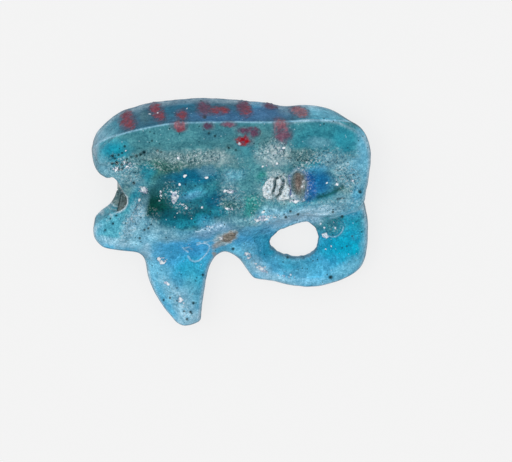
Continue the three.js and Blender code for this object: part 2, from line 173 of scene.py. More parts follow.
# The same tables of shares as the frame's solids are made from.
RIM_SHARES = [
    [0.003, 0.79, 0.5], [0.009, 0.819, 0.25], [0.027, 0.857, 0.12], [0.064, 0.903, 0.08],
    [0.109, 0.94, 0.06], [0.15, 0.958, 0.06], [0.219, 0.98, 0.06], [0.322, 0.994, 0.06], [0.405, 1, 0.06],
    [0.493, 0.994, 0.06], [0.583, 0.985, 0.06], [0.627, 0.981, 0.06], [0.667, 0.971, 0.06],
    [0.703, 0.967, 0.06], [0.771, 0.973, 0.06], [0.824, 0.969, 0.08], [0.872, 0.958, 0.1],
    [0.907, 0.941, 0.15], [0.935, 0.923, 0.25], [0.96, 0.902, 0.4], [0.979, 0.876, 0.45],
    [0.994, 0.836, 0.45], [1, 0.788, 0.45], [0.999, 0.74, 0.45], [0.994, 0.685, 0.45], [0.987, 0.631, 0.4],
    [0.981, 0.586, 0.35], [0.98, 0.557, 0.3], [0.987, 0.521, 0.45], [0.994, 0.476, 0.5],
    [0.996, 0.428, 0.55], [0.995, 0.371, 0.55], [0.988, 0.312, 0.55], [0.97, 0.262, 0.55],
    [0.937, 0.228, 0.55], [0.888, 0.2, 0.55], [0.827, 0.18, 0.5], [0.773, 0.174, 0.5], [0.717, 0.182, 0.5],
    [0.642, 0.203, 0.5], [0.598, 0.214, 0.45], [0.578, 0.226, 0.4], [0.552, 0.267, 0.45],
    [0.53, 0.303, 0.5], [0.502, 0.329, 0.5], [0.475, 0.336, 0.5], [0.449, 0.322, 0.45], [0.43, 0.29, 0.4],
    [0.418, 0.25, 0.4], [0.41, 0.202, 0.4], [0.402, 0.143, 0.4], [0.396, 0.089, 0.4], [0.392, 0.053, 0.4],
    [0.39, 0.028, 0.4], [0.369, 0.01, 0.4], [0.333, 0, 0.4], [0.302, 0.014, 0.45], [0.273, 0.053, 0.5],
    [0.245, 0.1, 0.5], [0.222, 0.151, 0.5], [0.204, 0.204, 0.5], [0.197, 0.24, 0.5], [0.191, 0.282, 0.55],
    [0.179, 0.321, 0.6], [0.156, 0.346, 0.65], [0.125, 0.357, 0.7], [0.082, 0.367, 0.75],
    [0.043, 0.386, 0.75], [0.017, 0.411, 0.75], [0.007, 0.441, 0.75], [0.01, 0.473, 0.7], [0.029, 0.5, 0.6],
    [0.054, 0.523, 0.5], [0.072, 0.546, 0.4], [0.085, 0.577, 0.4], [0.092, 0.62, 0.45], [0.088, 0.663, 0.6],
    [0.065, 0.69, 0.75], [0.033, 0.71, 0.9], [0.011, 0.733, 0.95], [0, 0.765, 1],
]
HOLE_SHARES = [
    [0.642, 0.368], [0.665, 0.409], [0.703, 0.432], [0.74, 0.447], [0.773, 0.455], [0.797, 0.44],
    [0.811, 0.409], [0.817, 0.369], [0.809, 0.332], [0.788, 0.306], [0.76, 0.294], [0.731, 0.293],
    [0.698, 0.302], [0.664, 0.322], [0.643, 0.344],
]
BODY_EDGE_SHARES = [
    [-0.1, 0.3], [0.133, 0.34], [0.247, 0.38], [0.355, 0.41], [0.444, 0.415], [0.534, 0.435],
    [0.613, 0.465], [0.713, 0.49], [0.796, 0.505], [0.875, 0.522], [0.935, 0.54], [0.98, 0.57], [1.1, 0.6],
]
# Height as a share of RELIEF, half-width as a share of LENGTH, and the line's places.
LINE_SHARES = [
    (0.12, 0.05, [[0.05, 0.84], [0.12, 0.9], [0.28, 0.93], [0.82, 0.93]]),
    (-0.22, 0.02, [[0.06, 0.77], [0.11, 0.81], [0.18, 0.835], [0.5, 0.853]]),
    (0.15, 0.025, [[0.11, 0.73], [0.18, 0.776], [0.27, 0.8], [0.52, 0.78]]),
    (0.2, 0.02, [[0.185, 0.665], [0.16, 0.605], [0.13, 0.52], [0.085, 0.41]]),
    (-0.35, 0.035, [[0.1, 0.6], [0.08, 0.53], [0.03, 0.45]]),
    (0.22, 0.03, [[0.2, 0.46], [0.36, 0.48], [0.48, 0.51], [0.64, 0.544]]),
    (0.25, 0.03, [[0.64, 0.544], [0.77, 0.576], [0.88, 0.605], [0.95, 0.63]]),
    (0.35, 0.035, [[0.237, 0.335], [0.255, 0.28], [0.28, 0.21], [0.34, 0.07]]),
    (0.25, 0.03, [[0.552, 0.35], [0.585, 0.3], [0.63, 0.27], [0.71, 0.24]]),
    (0.25, 0.03, [[0.71, 0.24], [0.82, 0.245], [0.91, 0.3], [0.955, 0.4]]),
]
# Height as a share of RELIEF, the middle, the half-widths as shares of LENGTH, and the turn in degrees.
BOWL_SHARES = [
    (-0.9, 0.348, 0.612, 0.15, 0.075, 4), (0.95, 0.369, 0.639, 0.07, 0.035, 3),
    (-0.3, 0.262, 0.544, 0.06, 0.045, -20), (-0.5, 0.814, 0.675, 0.12, 0.06, 5),
    (-0.25, 0.746, 0.68, 0.03, 0.045, 0), (-0.25, 0.878, 0.468, 0.035, 0.035, 0),
    (-2.2, -0.002, 0.85, 0.03, 0.08, 0),
]

# The front edge of the brow's top side, in the photograph's pixels.
ARRIS = [
    (94, 147), (99, 142.6), (109, 137.8), (123, 133.5), (133, 131), (152, 126.8), (166, 124.4), (181, 123),
    (209, 122.3), (240, 122), (266, 122.4), (297, 121), (325, 120.4), (340, 120.6), (352, 121.6),
]
# The lip of the string hole's mouth, in the photograph's pixels.
LIP = [
    (115, 180), (119.5, 185.5), (122.5, 191.5), (125, 197), (126, 201), (124.5, 205), (119, 207), (114, 206),
    (110, 201),
]
POCKET = np.array([(98, 196), (104, 184), (112, 179)] + LIP, dtype=float)
UPPER_CRACK = [(134, 157), (140, 154.5), (145, 152)]
CURL_EDGE = [(330, 218), (345, 214), (355, 211), (361, 208), (364, 203)]
# Fine relief, at places in the photograph's pixels: height and half-width in millimetres, then the line.
FINE_LINES = [
    (-0.1, 0.1, UPPER_CRACK),
    (-0.06, 0.1, [(229, 147), (235, 149), (240, 154)]),
    (-0.2, 0.13, [(318, 197), (330, 193), (342, 187)]),
    (-0.08, 0.12, [(288, 157), (305, 160), (322, 161)]),
    (0.07, 0.08, LIP),
    (0.07, 0.13, [(254, 222), (262, 216), (270, 216), (279, 211)]),
    (0.09, 0.13, [(143, 192), (136, 205), (128, 220), (116, 236)]),
    (0.08, 0.1, CURL_EDGE),
]
# Burst blisters: middle, half-widths and turn, the ring's height and the floor's depth in millimetres.
BLISTERS = [
    (199, 252, 11.5, 7.5, 28, 0.05, 0.05), (336, 227, 9, 9, 0, 0.05, 0.22), (299, 183, 9, 13, 0, 0.08, 0.1),
]
# Single pits: radius in pixels and depth in millimetres, then the middles.
PITS = {
    (0.8, 0.08): [(152, 141), (110.5, 218.6), (105, 230), (116.4, 215.4)],
    (0.8, 0.1): [(122, 153), (115, 158.5), (161, 152)],
    (0.9, 0.08): [
        (209, 133), (113, 223.5), (144.6, 230), (148.4, 228.4), (170, 297.8), (163.6, 300), (184.2, 311.3),
    ],
    (0.9, 0.1): [(118.5, 155), (127, 162.5), (131, 157), (229, 148), (236, 150), (333, 212)],
    (1, 0.08): [(215, 136), (202.8, 275)],
    (1, 0.09): [(139.7, 238.2)],
    (1, 0.1): [
        (127, 159), (124.7, 146.5), (122, 169.4), (157.5, 150.5), (190.7, 312), (186.9, 319.2),
        (290.5, 211.4), (298.2, 214.3), (287.7, 257.3),
    ],
    (1.1, 0.1): [(118.5, 169.4), (193.4, 303), (285.8, 217.2), (233, 249)],
    (1.1, 0.12): [(112.5, 156), (112.3, 163.5), (121.8, 164.6), (136.5, 156), (140.5, 154.5)],
    (1.2, 0.12): [(144, 152.4), (134, 183), (342.2, 216.7)],
    (1.4, 0.12): [(360, 191.8)],
    (1.5, 0.12): [(204.5, 117), (330.7, 277.4)],
    (1.7, 0.2): [(117, 163.2)],
}
# Granular patches of the glaze: middle, half-widths, turn and strength.
GRAIN_PATCHES = [
    (162, 161, 40, 10, 2, 0.7), (199, 157, 29, 9, 0, 1), (126, 168, 20, 12, -20, 0.9),
    (276, 152, 22, 13, 0, 1), (318, 158, 40, 10, 3, 0.9), (347, 178, 15, 16, 0, 0.9),
    (325, 207, 50, 10, 8, 0.45), (131, 222, 9, 24, -25, 0.8), (150, 218, 10, 14, 0, 0.4),
    (178, 300, 8, 28, 38, 0.4), (230, 198, 15, 17, 0, 0.85), (264, 217, 22, 7, 5, 0.7),
    (173, 194, 9, 12, 0, 0.7), (184, 207, 16, 6, -20, 0.5), (277, 187, 18, 18, 0, 1),
    (336, 226, 9, 9, 0, 0.35), (143, 190, 7, 6, 0, 1), (228, 168, 22, 12, 0, 0.3),
    (250, 258, 12, 7, -40, 0.5), (256, 203, 8, 14, 0, 0.5), (299, 183, 16, 19, 0, 0.7),
]
# Frosted, broken places in the glaze, with painted sparkle and highlights on crests: middle, half-widths,
# turn and strength.
FROST_AND_SPARKLE_PATCHES = [
    (174.8, 197, 5.2, 9, -12, 1.3), (143.6, 190, 6, 4.6, -10, 1.3), (160.8, 195, 1.6, 6, 0, 1.1),
    (116, 169, 5, 3, 0, 1.15), (127, 165, 7, 5, -25, 0.9), (184, 206, 10, 3, -30, 0.95),
    (230, 191, 9, 3, 0, 1.1), (228, 184, 8, 4, 0, 0.6), (229, 209, 7, 2, -10, 1.1),
    (184.5, 176, 2.8, 2.4, 0, 1.1), (205, 177.5, 5, 2.4, 0, 0.85), (193, 181, 7, 1.6, 0, 0.6),
    (277, 152, 11, 9, 0, 0.85), (268, 164, 9, 6, 0, 0.7), (277, 187, 16, 15, 0, 0.75),
    (293, 201, 6, 3, -10, 1.1), (162, 260.5, 6, 4.5, 0, 1), (263, 218, 13, 4, 15, 1.15),
    (207, 227.5, 14, 2.6, 12, 0.75), (248, 256, 6, 4.5, -50, 1.1), (262, 269, 9, 3, -32, 1.2),
    (286, 276, 15, 2, -8, 0.9), (166, 283, 3.4, 2.4, 0, 1.2), (180, 299.5, 4, 5.5, 30, 1.1),
    (187, 315, 5, 5, 0, 0.8), (134, 214, 4, 17, -25, 0.85), (120, 235, 9, 4, 20, 0.65),
    (188, 247, 6, 4, 40, 0.7), (221, 238.5, 3.6, 1.8, 30, 1), (325, 235.5, 4, 3.4, 0, 1.35),
    (332, 222, 6, 5, 0, 0.65), (344, 179, 13, 7, 0, 0.7), (337, 184, 2, 2, 0, 1.1),
    (352, 180, 2, 2, 0, 1.1), (345, 202, 13, 5, 10, 0.55), (312, 208, 26, 4, 9, 0.45),
    (198, 159, 30, 8, 2, 0.5), (208, 160, 17, 6, 3, 0.6), (326, 158, 22, 5, 3, 0.5),
    (352, 168, 12, 6, 0, 0.5), (222, 205, 14, 7, 0, 0.55), (246, 196, 10, 10, 0, 0.5),
    (168, 205, 3, 2, 0, 0.6),
]
# Where the glaze is gone and the body shows: middle, half-widths and turn.
BARE_PATCHES = [
    (299, 184.5, 6.2, 11, 3), (229, 237, 6.5, 3.6, 25),
]
# Red dabs in the order of the frame's nodes, each of some lobes: colour, middle, half-widths and turn.
DABS = [
    [("brick", 128, 123.5, 9, 7, 0), ("brick", 127, 116.5, 7, 6.5, 10)],
    [("brick", 155.5, 109, 7, 7, 25), ("brick", 159.5, 116, 6, 7, 20)], [("brick", 182, 115, 6.5, 6, 0)],
    [("plum", 203.5, 108.8, 7, 8, 0)],
    [("brick", 215.5, 110.7, 8, 4.8, 0), ("brick", 224, 110.4, 6.5, 4, 0)],
    [("plum", 242.5, 106.5, 6.5, 5.8, 0), ("brick", 246, 110.5, 6.5, 6.8, -15)],
    [("plum", 270, 106.2, 8, 3.2, -12)],
    [("rose", 296.5, 110.5, 8.5, 5, -12), ("rose", 303, 113, 6.5, 6, -20)],
    [("rose", 179, 125.4, 9.2, 4.6, 0), ("brick", 180.5, 129, 5.5, 3.4, 0)],
    [("plum", 208, 126, 6, 4.2, 0)], [("mauve", 228.5, 124.4, 8.8, 3.2, -3)],
    [("plum", 246.5, 130.5, 10.5, 4, -5), ("plum", 254, 132.5, 6, 5.4, 0),
     ("scarlet", 243.8, 141, 8.4, 5.2, -12)],
    [("rose", 280, 124.5, 8, 6.5, -5), ("mauve", 283.5, 134.5, 8.8, 9.6, 10)],
]
# Small white glints: the middle, then the half-widths.
GLINTS = [
    (239.5, 143.6, 1.6, 1.2), (187.2, 108.5, 1.1, 1), (149.6, 113.9, 1.1, 0.9), (157.7, 113.4, 0.8, 0.7),
    (125.7, 150.8, 1.1, 1), (178, 158.1, 1.2, 1.2), (115.9, 169.9, 2, 1.4), (127, 166.5, 1.8, 1),
    (185, 176, 2, 1.6), (206.5, 177.5, 1.6, 1.3), (179.7, 184.3, 1.5, 1.5), (174.5, 198, 2.4, 1.8),
    (171.5, 192, 1.2, 1), (160.8, 191.5, 0.9, 1.3), (161.2, 196, 1, 1.2), (158.8, 200.8, 1.2, 0.9),
    (143, 190.5, 1.8, 1), (224.6, 191.3, 1.8, 1.5), (230, 192.5, 2.4, 0.9), (226.5, 208.9, 2.4, 0.9),
    (202, 207.5, 1, 1), (177, 213.4, 0.9, 0.9), (191.3, 218, 0.9, 0.8), (139.5, 200, 0.9, 1.4),
    (158.7, 258.6, 2.6, 2.2), (162.4, 262.8, 4.2, 1.3), (167.8, 284, 1.5, 1.3), (180.3, 299.2, 1.6, 1.3),
    (183, 303.5, 0.9, 0.9), (247, 254, 1.8, 1.2), (248.6, 258.3, 1, 1.4), (255.6, 263.6, 2, 1),
    (261.8, 268.8, 2.6, 1.2), (265.2, 266.9, 1.1, 0.9), (291, 275, 1, 0.9), (263.3, 212, 1.8, 1),
    (257.5, 221, 2.2, 0.9), (266, 219.6, 3.4, 0.8), (275, 217.2, 2.8, 0.8), (337.2, 184.6, 1.5, 1.5),
    (352.6, 180.8, 1.3, 1.3), (326.9, 183, 1.2, 1), (320.7, 223.9, 1, 1), (324.5, 227.7, 1, 0.9),
    (333.6, 222.4, 0.9, 0.9), (335.2, 228, 1.1, 0.9), (323.5, 234.3, 1.8, 1.6), (327, 237.2, 2, 1),
    (325.3, 249.5, 0.9, 0.9), (331, 246, 0.9, 0.8), (295.5, 201.8, 1.8, 1.4), (291.5, 196, 1, 1.4),
    (303.5, 180.5, 1.2, 1.2), (220.5, 237.5, 2.4, 0.8), (277.5, 163.5, 2, 1.2), (284, 148, 2, 1.4),
    (263, 166.5, 1.2, 1.2), (307, 162, 1, 0.9),
]
# The crust's plates, as corners in the photograph's pixels.
CRUSTS = {
    "crust_left": [
        (261.5, 188), (266, 180), (271, 176), (274.6, 178), (273.4, 181), (274, 185.5), (271.8, 193),
        (272.6, 199.5), (266, 199.5), (262.5, 196),
    ],
    "crust_middle": [
        (276, 179.5), (280.5, 177), (282.4, 181), (281.4, 186.5), (279, 189.5), (279, 193), (275.8, 196.5),
        (273.6, 194), (276.2, 185.5),
    ],
    "crust_right": [
        (281, 173.5), (286, 177), (287, 183), (291, 188), (288.5, 194), (291, 199.5), (283, 201),
        (275, 200), (277.8, 197), (281, 194), (281, 190.5), (283.6, 187), (284.6, 181), (281.8, 176),
    ],
}

# Colours, as red, green and blue from 0 to 255.
PALETTE = {
    "teal": (70, 136, 148), "sea": (46, 134, 152), "turquoise": (24, 144, 170), "cyan": (2, 158, 192),
    "azure": (70, 172, 214), "sky": (108, 184, 214), "pale": (144, 197, 221), "lavender": (128, 166, 204),
    "mist": (112, 164, 184), "ash": (106, 142, 147), "grey green": (84, 126, 130), "green": (56, 112, 106),
    "deep green": (2, 72, 66), "deep teal": (4, 88, 104), "deep blue": (8, 102, 134),
    "ocean": (20, 108, 160), "blue": (62, 160, 216), "royal": (34, 92, 172), "slate": (44, 98, 122),
    "violet blue": (56, 108, 150), "dusty": (114, 156, 176), "jade": (22, 136, 130),
    "lagoon": (76, 160, 182), "white": (222, 232, 240), "bone": (168, 194, 202), "ice": (176, 186, 224),
    "gleam": (176, 214, 234), "hollow shade": (22, 54, 60), "driftwood": (108, 137, 141), "putty": (150, 148, 144),
    "umber": (112, 88, 70), "tan": (136, 132, 120), "clay": (140, 122, 114), "pale reflection": (164, 188, 202),
    "cocoa": (78, 66, 62), "violet": (86, 92, 172), "brick": (128, 58, 72), "plum": (98, 68, 92),
    "rose": (150, 104, 114), "scarlet": (150, 12, 26), "mauve": (128, 90, 110),
}
# Soft patches of colour on the face: colour, middle, half-widths, turn and strength. Some are painted light:
# highlights and sheen on the boss and ridges, reflections along the lower edges, and lighter paint on slopes
# in shade.
FACE_STROKES = [
    ("sea", 325, 138, 44, 20, 8, 0.9), ("turquoise", 347, 142, 14, 14, 0, 0.4),
    ("sky", 367, 162, 10, 48, 0, 0.9), ("mist", 357, 172, 10, 24, 0, 0.6),
    ("lagoon", 100, 156, 14, 22, 0, 0.9), ("turquoise", 116, 151, 14, 12, -10, 1),
    ("dusty", 94, 152, 4, 20, 0, 0.8), ("mist", 104, 170, 17, 9, -35, 0.8),
    ("slate", 214, 134, 16, 5, 0, 0.5), ("grey green", 256, 140, 24, 8, 0, 0.5),
    ("ash", 190, 159, 60, 11, 2, 0.95), ("green", 162, 171, 24, 10, 0, 1),
    ("mist", 130, 178, 16, 14, -30, 0.6), ("turquoise", 148, 172, 8, 9, 0, 0.7),
    ("turquoise", 136, 203, 9, 20, -20, 0.7), ("deep teal", 189, 203, 50, 23, 5, 1),
    ("deep green", 158, 207, 18, 19, -20, 1), ("deep teal", 190, 216, 46, 9, 4, 1),
    ("deep blue", 192, 177, 30, 9, 0, 1), ("sea", 194, 198, 27, 13, 3, 1),
    # The boss's azure and lavender patches are a painted highlight.
    ("azure", 190, 194, 14, 7, 3, 0.35), ("lavender", 189, 195, 10, 3.5, 3, 0.25),
    ("deep blue", 213, 202, 13, 9, 0, 0.9), ("mist", 231, 192, 12, 20, 0, 0.5),
    ("green", 229, 204, 10, 7, 0, 0.6), ("teal", 249, 170, 12, 38, 0, 0.9),
    ("jade", 262, 178, 6, 9, 10, 0.55), ("bone", 276, 155, 19, 11, 0, 0.8),
    ("grey green", 304, 155, 17, 7, 3, 0.8), ("mist", 331, 161, 22, 11, 0, 0.8),
    ("bone", 277, 188, 18, 17, 0, 0.85), ("mist", 347, 178, 15, 14, 0, 0.7),
    ("ocean", 317, 183, 15, 15, 0, 1), ("royal", 309, 185, 7, 14, 10, 0.6),
    ("azure", 318, 168, 12, 5, 0, 0.5), ("sea", 322, 200, 22, 7, 10, 0.8),
    ("grey green", 347, 192, 12, 6, 10, 0.6), ("mist", 228, 227, 32, 8, 12, 0.9),
    # The lower lid's lavender and pale patches are painted sheen on its ridge.
    ("lavender", 213, 231, 30, 6, 12, 0.5), ("pale", 271, 216, 24, 9, 12, 0.9),
    ("sky", 306, 211, 42, 9, 9, 0.8), ("pale", 300, 212, 26, 5, 9, 0.4), ("mist", 337, 204, 28, 9, 12, 0.8),
    ("jade", 253, 207, 9, 12, 0, 0.4), ("lagoon", 110, 221, 22, 19, -20, 1),
    # The pale patch on the left lobe's crest is painted sheen.
    ("lagoon", 116, 238, 32, 9, -8, 0.9), ("pale", 133, 223, 9, 24, -27, 0.95),
    ("mist", 150, 229, 14, 10, 0, 0.7), ("mist", 163, 237, 32, 8, 0, 0.9),
    ("pale", 140, 243, 18, 6, 8, 0.5), ("sky", 158, 272, 15, 34, 18, 0.9),
    ("blue", 186, 250, 32, 12, 8, 0.9), ("azure", 176, 254, 14, 8, 0, 0.5),
    ("cyan", 190, 272, 15, 17, 0, 0.65), ("lagoon", 194, 288, 10, 20, 0, 0.5),
    # The pale patch along the drop's left edge is a painted reflection.
    ("azure", 163, 296, 5, 24, 36, 0.4), ("pale", 150, 282, 4, 24, 24, 0.6),
    ("mist", 186, 300, 18, 20, 30, 0.5), ("pale", 179, 302, 7, 26, 36, 0.8),
    ("pale", 188, 318, 14, 9, 0, 0.95), ("pale", 94, 232, 5, 14, 0, 0.7),
    ("turquoise", 196, 221, 20, 3.5, 10, 0.55), ("sea", 245, 152, 14, 8, 0, 0.5),
    ("sky", 246, 256, 22, 16, -25, 1), ("violet blue", 262, 233, 26, 5, -4, 0.3),
    ("blue", 240, 241, 16, 8, 0, 0.7), ("turquoise", 264, 250, 9, 13, 30, 0.7),
    ("putty", 219, 244, 5, 8, -35, 0.9), ("bone", 216, 240, 8, 2.4, 18, 0.7),
    # The pale patch above the hole is painted light on a slope that lies in shade.
    ("putty", 215.5, 256, 2.4, 3.4, 0, 0.9), ("pale", 300, 219, 40, 8, 10, 0.95),
    ("turquoise", 290, 257, 26, 10, -20, 0.7), ("cyan", 346, 247, 24, 25, 0, 1),
    ("turquoise", 354, 222, 14, 10, 0, 0.8), ("azure", 322, 262, 22, 9, 10, 0.6),
    ("sky", 344, 272, 26, 7, 22, 0.8), ("sky", 366, 245, 6, 36, 0, 0.8),
    # Pale patches along the curl's lower edge are a painted reflection.
    ("pale", 263, 271, 24, 5, -32, 0.7), ("pale", 300, 281, 36, 5, -2, 0.8),
    # Azure and gleam patches above the hole are painted light on a slope in shade.
    ("sky", 300, 268, 44, 7, 0, 0.45), ("azure", 280, 223, 24, 6, 12, 0.5),
    ("gleam", 305, 217, 34, 6, 8, 0.5), ("blue", 260, 231, 18, 5, 0, 0.6),
    ("sea", 335, 226, 10, 10, 0, 0.8), ("sky", 366, 158, 8, 30, 0, 0.5), ("sky", 355, 168, 8, 12, 0, 0.4),
    ("bone", 216, 158, 14, 8, 0, 0.3), ("azure", 245, 250, 14, 9, -25, 0.5),
    ("pale", 186, 302, 8, 12, 30, 0.4), ("sky", 97, 228, 6, 16, 0, 0.4),
    # These azure, gleam and sky patches above the hole and on the curl are painted light on slopes in shade.
    ("azure", 285, 222, 30, 7, 10, 0.4), ("gleam", 284, 221, 28, 6, 10, 0.35),
    ("gleam", 305, 215, 30, 5, 8, 0.4), ("sky", 258, 231, 16, 6, 0, 0.55),
    ("azure", 262, 250, 8, 12, 30, 0.55), ("sky", 247, 250, 9, 7, -25, 0.5),
    ("sky", 168, 296, 6, 16, 36, 0.45), ("cyan", 300, 266, 28, 7, 0, 0.3),
    ("jade", 262, 176, 5, 7, 15, 0.6), ("jade", 250, 206, 9, 8, 0, 0.45),
    ("pale", 186, 308, 9, 12, 20, 0.3), ("white", 100, 212, 4, 3, -40, 0.4),
    ("sea", 263, 182, 6, 7, 0, 0.6), ("sea", 276, 204, 11, 4, 0, 0.7), ("gleam", 260, 273, 13, 5, -30, 0.6),
    ("gleam", 114, 243, 20, 4.5, -6, 0.5), ("gleam", 147, 252, 6, 8, 30, 0.5),
    ("grey green", 231, 152, 12, 5, 0, 0.6), ("sea", 316, 162, 8, 5, 0, 0.8),
    ("azure", 318, 173, 8, 5, 0, 0.35), ("azure", 353, 213, 14, 6, 10, 0.55),
    ("sky", 356, 204, 9, 6, 0, 0.5), ("cyan", 348, 224, 8, 6, 0, 0.5), ("cyan", 326, 253, 10, 8, 0, 0.7),
    ("teal", 244, 223, 16, 5, 5, 0.55), ("bone", 224, 243, 6, 4, 25, 0.6),
    ("mist", 320, 143, 14, 5, 0, 0.5), ("ocean", 307, 193, 5, 7, 0, 0.7),
    ("green", 160, 164, 13, 5, 0, 0.5), ("sky", 296, 272, 15, 5, 0, 0.5),
    ("gleam", 256, 262, 8, 5, -30, 0.3), ("sky", 356, 263, 8, 8, 40, 0.5), ("sky", 186, 233, 13, 5, 0, 0.4),
    ("turquoise", 219, 214, 10, 5, 0, 0.5), ("sky", 236, 173, 10, 6, 0, 0.4),
    ("mist", 146, 196, 6, 6, 0, 0.4), ("grey green", 125, 188, 6, 10, 0, 0.6),
    ("gleam", 95, 147, 5, 11, 0, 0.45), ("teal", 265, 152, 6, 8, 0, 0.4),
    ("teal", 326, 202, 15, 4, 10, 0.4), ("green", 170, 165, 24, 5, 0, 0.5),
    ("bone", 276, 162, 8, 5, 0, 0.4), ("mist", 206, 173, 9, 5, 0, 0.4), ("azure", 357, 193, 6, 8, 0, 0.5),
    ("lagoon", 296, 203, 8, 4, 0, 0.5), ("lagoon", 264, 213, 8, 5, 0, 0.4),
    ("turquoise", 171, 223, 13, 5, 0, 0.5), ("sea", 186, 184, 8, 6, 0, 0.4),
    ("azure", 207, 223, 9, 5, 0, 0.4), ("deep teal", 166, 184, 8, 6, 0, 0.4),
    ("bone", 225, 243, 6, 4, 25, 0.5), ("cyan", 115, 163, 7, 5, 0, 0.3), ("sky", 146, 223, 8, 6, 0, 0.4),
    ("sea", 316, 255, 8, 5, 0, 0.3), ("sea", 264, 182, 5, 6, 0, 0.5), ("sea", 232, 152, 10, 4, 0, 0.4),
    ("cyan", 270, 249, 11, 8, 35, 0.4), ("azure", 312, 281, 20, 4, -2, 0.5),
    ("cyan", 296, 262, 20, 6, 0, 0.3),
]
# Soft patches of colour on the brow's top side.
BAND_STROKES = [
    ("dusty", 99, 141, 18, 14, 35, 0.9), ("lagoon", 110, 127, 18, 12, 35, 0.5),
    ("deep blue", 190, 109, 12, 8, 0, 0.6), ("slate", 216, 110, 26, 12, 0, 0.8),
    ("violet blue", 228, 118, 52, 6, 0, 0.9), ("violet blue", 266, 112, 30, 10, 0, 0.9),
    ("azure", 257, 105, 8, 5, 0, 0.6), ("deep blue", 176, 109, 12, 6, 0, 0.5),
    ("lagoon", 328, 115, 34, 10, -8, 1), ("pale", 344, 117, 14, 4, -20, 0.4),
    ("pale", 312, 107, 14, 4, -10, 0.7), ("dusty", 285, 111, 9, 6, 0, 0.5),
    # The pale patch at the left end is a painted reflection.
    ("pale", 98, 139, 10, 9, 35, 0.4), ("sky", 330, 114, 28, 8, -8, 0.5),
    ("grey green", 146, 117, 8, 7, 0, 0.4), ("dusty", 137, 113, 7, 5, 20, 0.4),
]
# Thin painted lines: colour, half-width in pixels, strength, how broken up the line is, and its places. The
# dark lines in grooves and between the crust's plates are painted shade; the pale line on the arris and the
# gleam lines are painted highlights.
LINE_STROKES = [
    # The pale line on the arris is a painted highlight.
    ("pale", 0.8, 0.85, 0, ARRIS),
    # Painted shade in the grooves.
    ("hollow shade", 0.8, 0.5, 1, UPPER_CRACK),
    ("hollow shade", 0.9, 0.5, 1, [(227, 147), (235, 149), (240, 154)]),
    ("deep green", 1.5, 0.75, 0, [(319, 197), (328, 195), (336, 191), (343, 187)]),
    ("deep green", 1.0, 0.5, 1, [(322, 192.5), (330, 190), (336, 188)]),
    ("hollow shade", 0.9, 0.8, 0, [(337, 199), (345, 198)]),
    ("hollow shade", 1.1, 0.7, 1, [(288, 158), (300, 161), (318, 160)]),
    ("gleam", 0.5, 0.9, 0, [
        (196, 231.5), (199, 232), (202, 229.5), (204, 231), (206.5, 228.5), (209, 231), (212, 226.5),
        (214.5, 230), (217, 226), (219.5, 228.5), (221.5, 224.5), (225, 227),
    ]),
    ("gleam", 0.5, 0.9, 0, [
        (188, 256), (190.5, 260), (194.5, 261.7), (199, 260.7), (204, 256.5), (208, 251.5), (209.7, 247.5),
        (208.5, 244.8), (205.5, 243.3), (201, 243.5), (197, 245),
    ]),
    ("gleam", 0.6, 0.9, 1, [(180, 245), (184, 248.5), (189, 247), (193, 249.5), (189, 252.5), (184, 249)]),
    ("gleam", 0.6, 0.7, 1, [(179, 257.5), (184, 254)]),
    ("bone", 0.7, 0.7, 1, [(197, 243), (205, 242), (212, 241), (217, 238.5)]),
    ("pale", 1.0, 0.8, 0, CURL_EDGE),
    ("gleam", 0.45, 0.9, 0, [
        (328, 235.5), (332, 237), (336, 236.6), (340, 234), (342.5, 230.5), (343.5, 227),
    ]),
    ("bone", 0.6, 0.6, 0, [(112, 197.5), (114, 201), (117.5, 203.5)]),
    ("bone", 0.6, 0.6, 0, [(105, 205), (111, 209), (118, 210.5), (125, 208)]),
    ("violet", 1.0, 0.8, 0, [(289, 176), (290, 185), (290.5, 195)]),
    # Painted shade in the cracks between the crust's plates.
    ("hollow shade", 1.4, 0.9, 0, [(280, 176.6), (275, 179), (275.4, 185), (272.8, 193.5)]),
    ("hollow shade", 1.4, 0.9, 0, [(283.4, 181), (282.5, 186.6), (280, 189.8), (280, 193.3), (276.7, 196.6)]),
]
# Soft patches of colour on the body where it shows.
CORE_STROKES = [
    ("putty", 222, 241, 18, 14, 0, 1), ("tan", 229.5, 236.5, 7, 5, 25, 0.8),
    ("driftwood", 299, 186, 12, 17, 0, 1), ("clay", 298.5, 182, 4, 10, 0, 0.9),
    ("white", 303.5, 181.5, 2, 1.8, 0, 0.9), ("white", 303.5, 187, 2.8, 1.8, -30, 0.9),
    ("bone", 293.5, 192, 1.4, 2.6, 0, 0.8), ("driftwood", 115, 195, 22, 22, 0, 1),
]
# Rings of the glaze round each bare patch: the noise, then colour, strength, and the reach where it starts
# and is full. Then the frosted ring round the pit: reach, half-width and strength.
BARE_RINGS = [
    ("pit edge", [("ice", 0.25, 1.8, 1.4), ("driftwood", 0.85, 1.45, 1.1)]),
    ("patch edge", [("bone", 0.6, 1.9, 1.3), ("putty", 0.9, 1.6, 1.1)]),
]
PIT_RING = (1.55, 0.22, 0.9)
# The pale edges of the front, a painted reflection: the flat part, its fade in millimetres and its strength.
EDGE_REFLECTION = (0.1, 0.17, 0.6)
# The dark line of painted shade along the rim and the brown line round the hole: half-width in millimetres
# and strength.
RIM_SHADE_LINE = (0.06, 0.4)
HOLE_LINE = (0.08, 0.45)
# The top side's foot, a painted highlight with a painted shade line lowest down: colour, strength, and the
# levels where it starts and is full.
FOOT_HIGHLIGHT_AND_SHADE = [("pale reflection", 0.5, 1.5, 0.3), ("slate", 0.35, 0.4, 0.2)]
# The string hole's mouth, with streaks of painted shade deeper in: colour, strength, and the depths where it
# starts and is full.
POCKET_COLOURS = [("driftwood", 1, 0.1, 0.4), ("hollow shade", 0.35, 0.3, 0.8)]
POCKET_FLOOR = 0.3
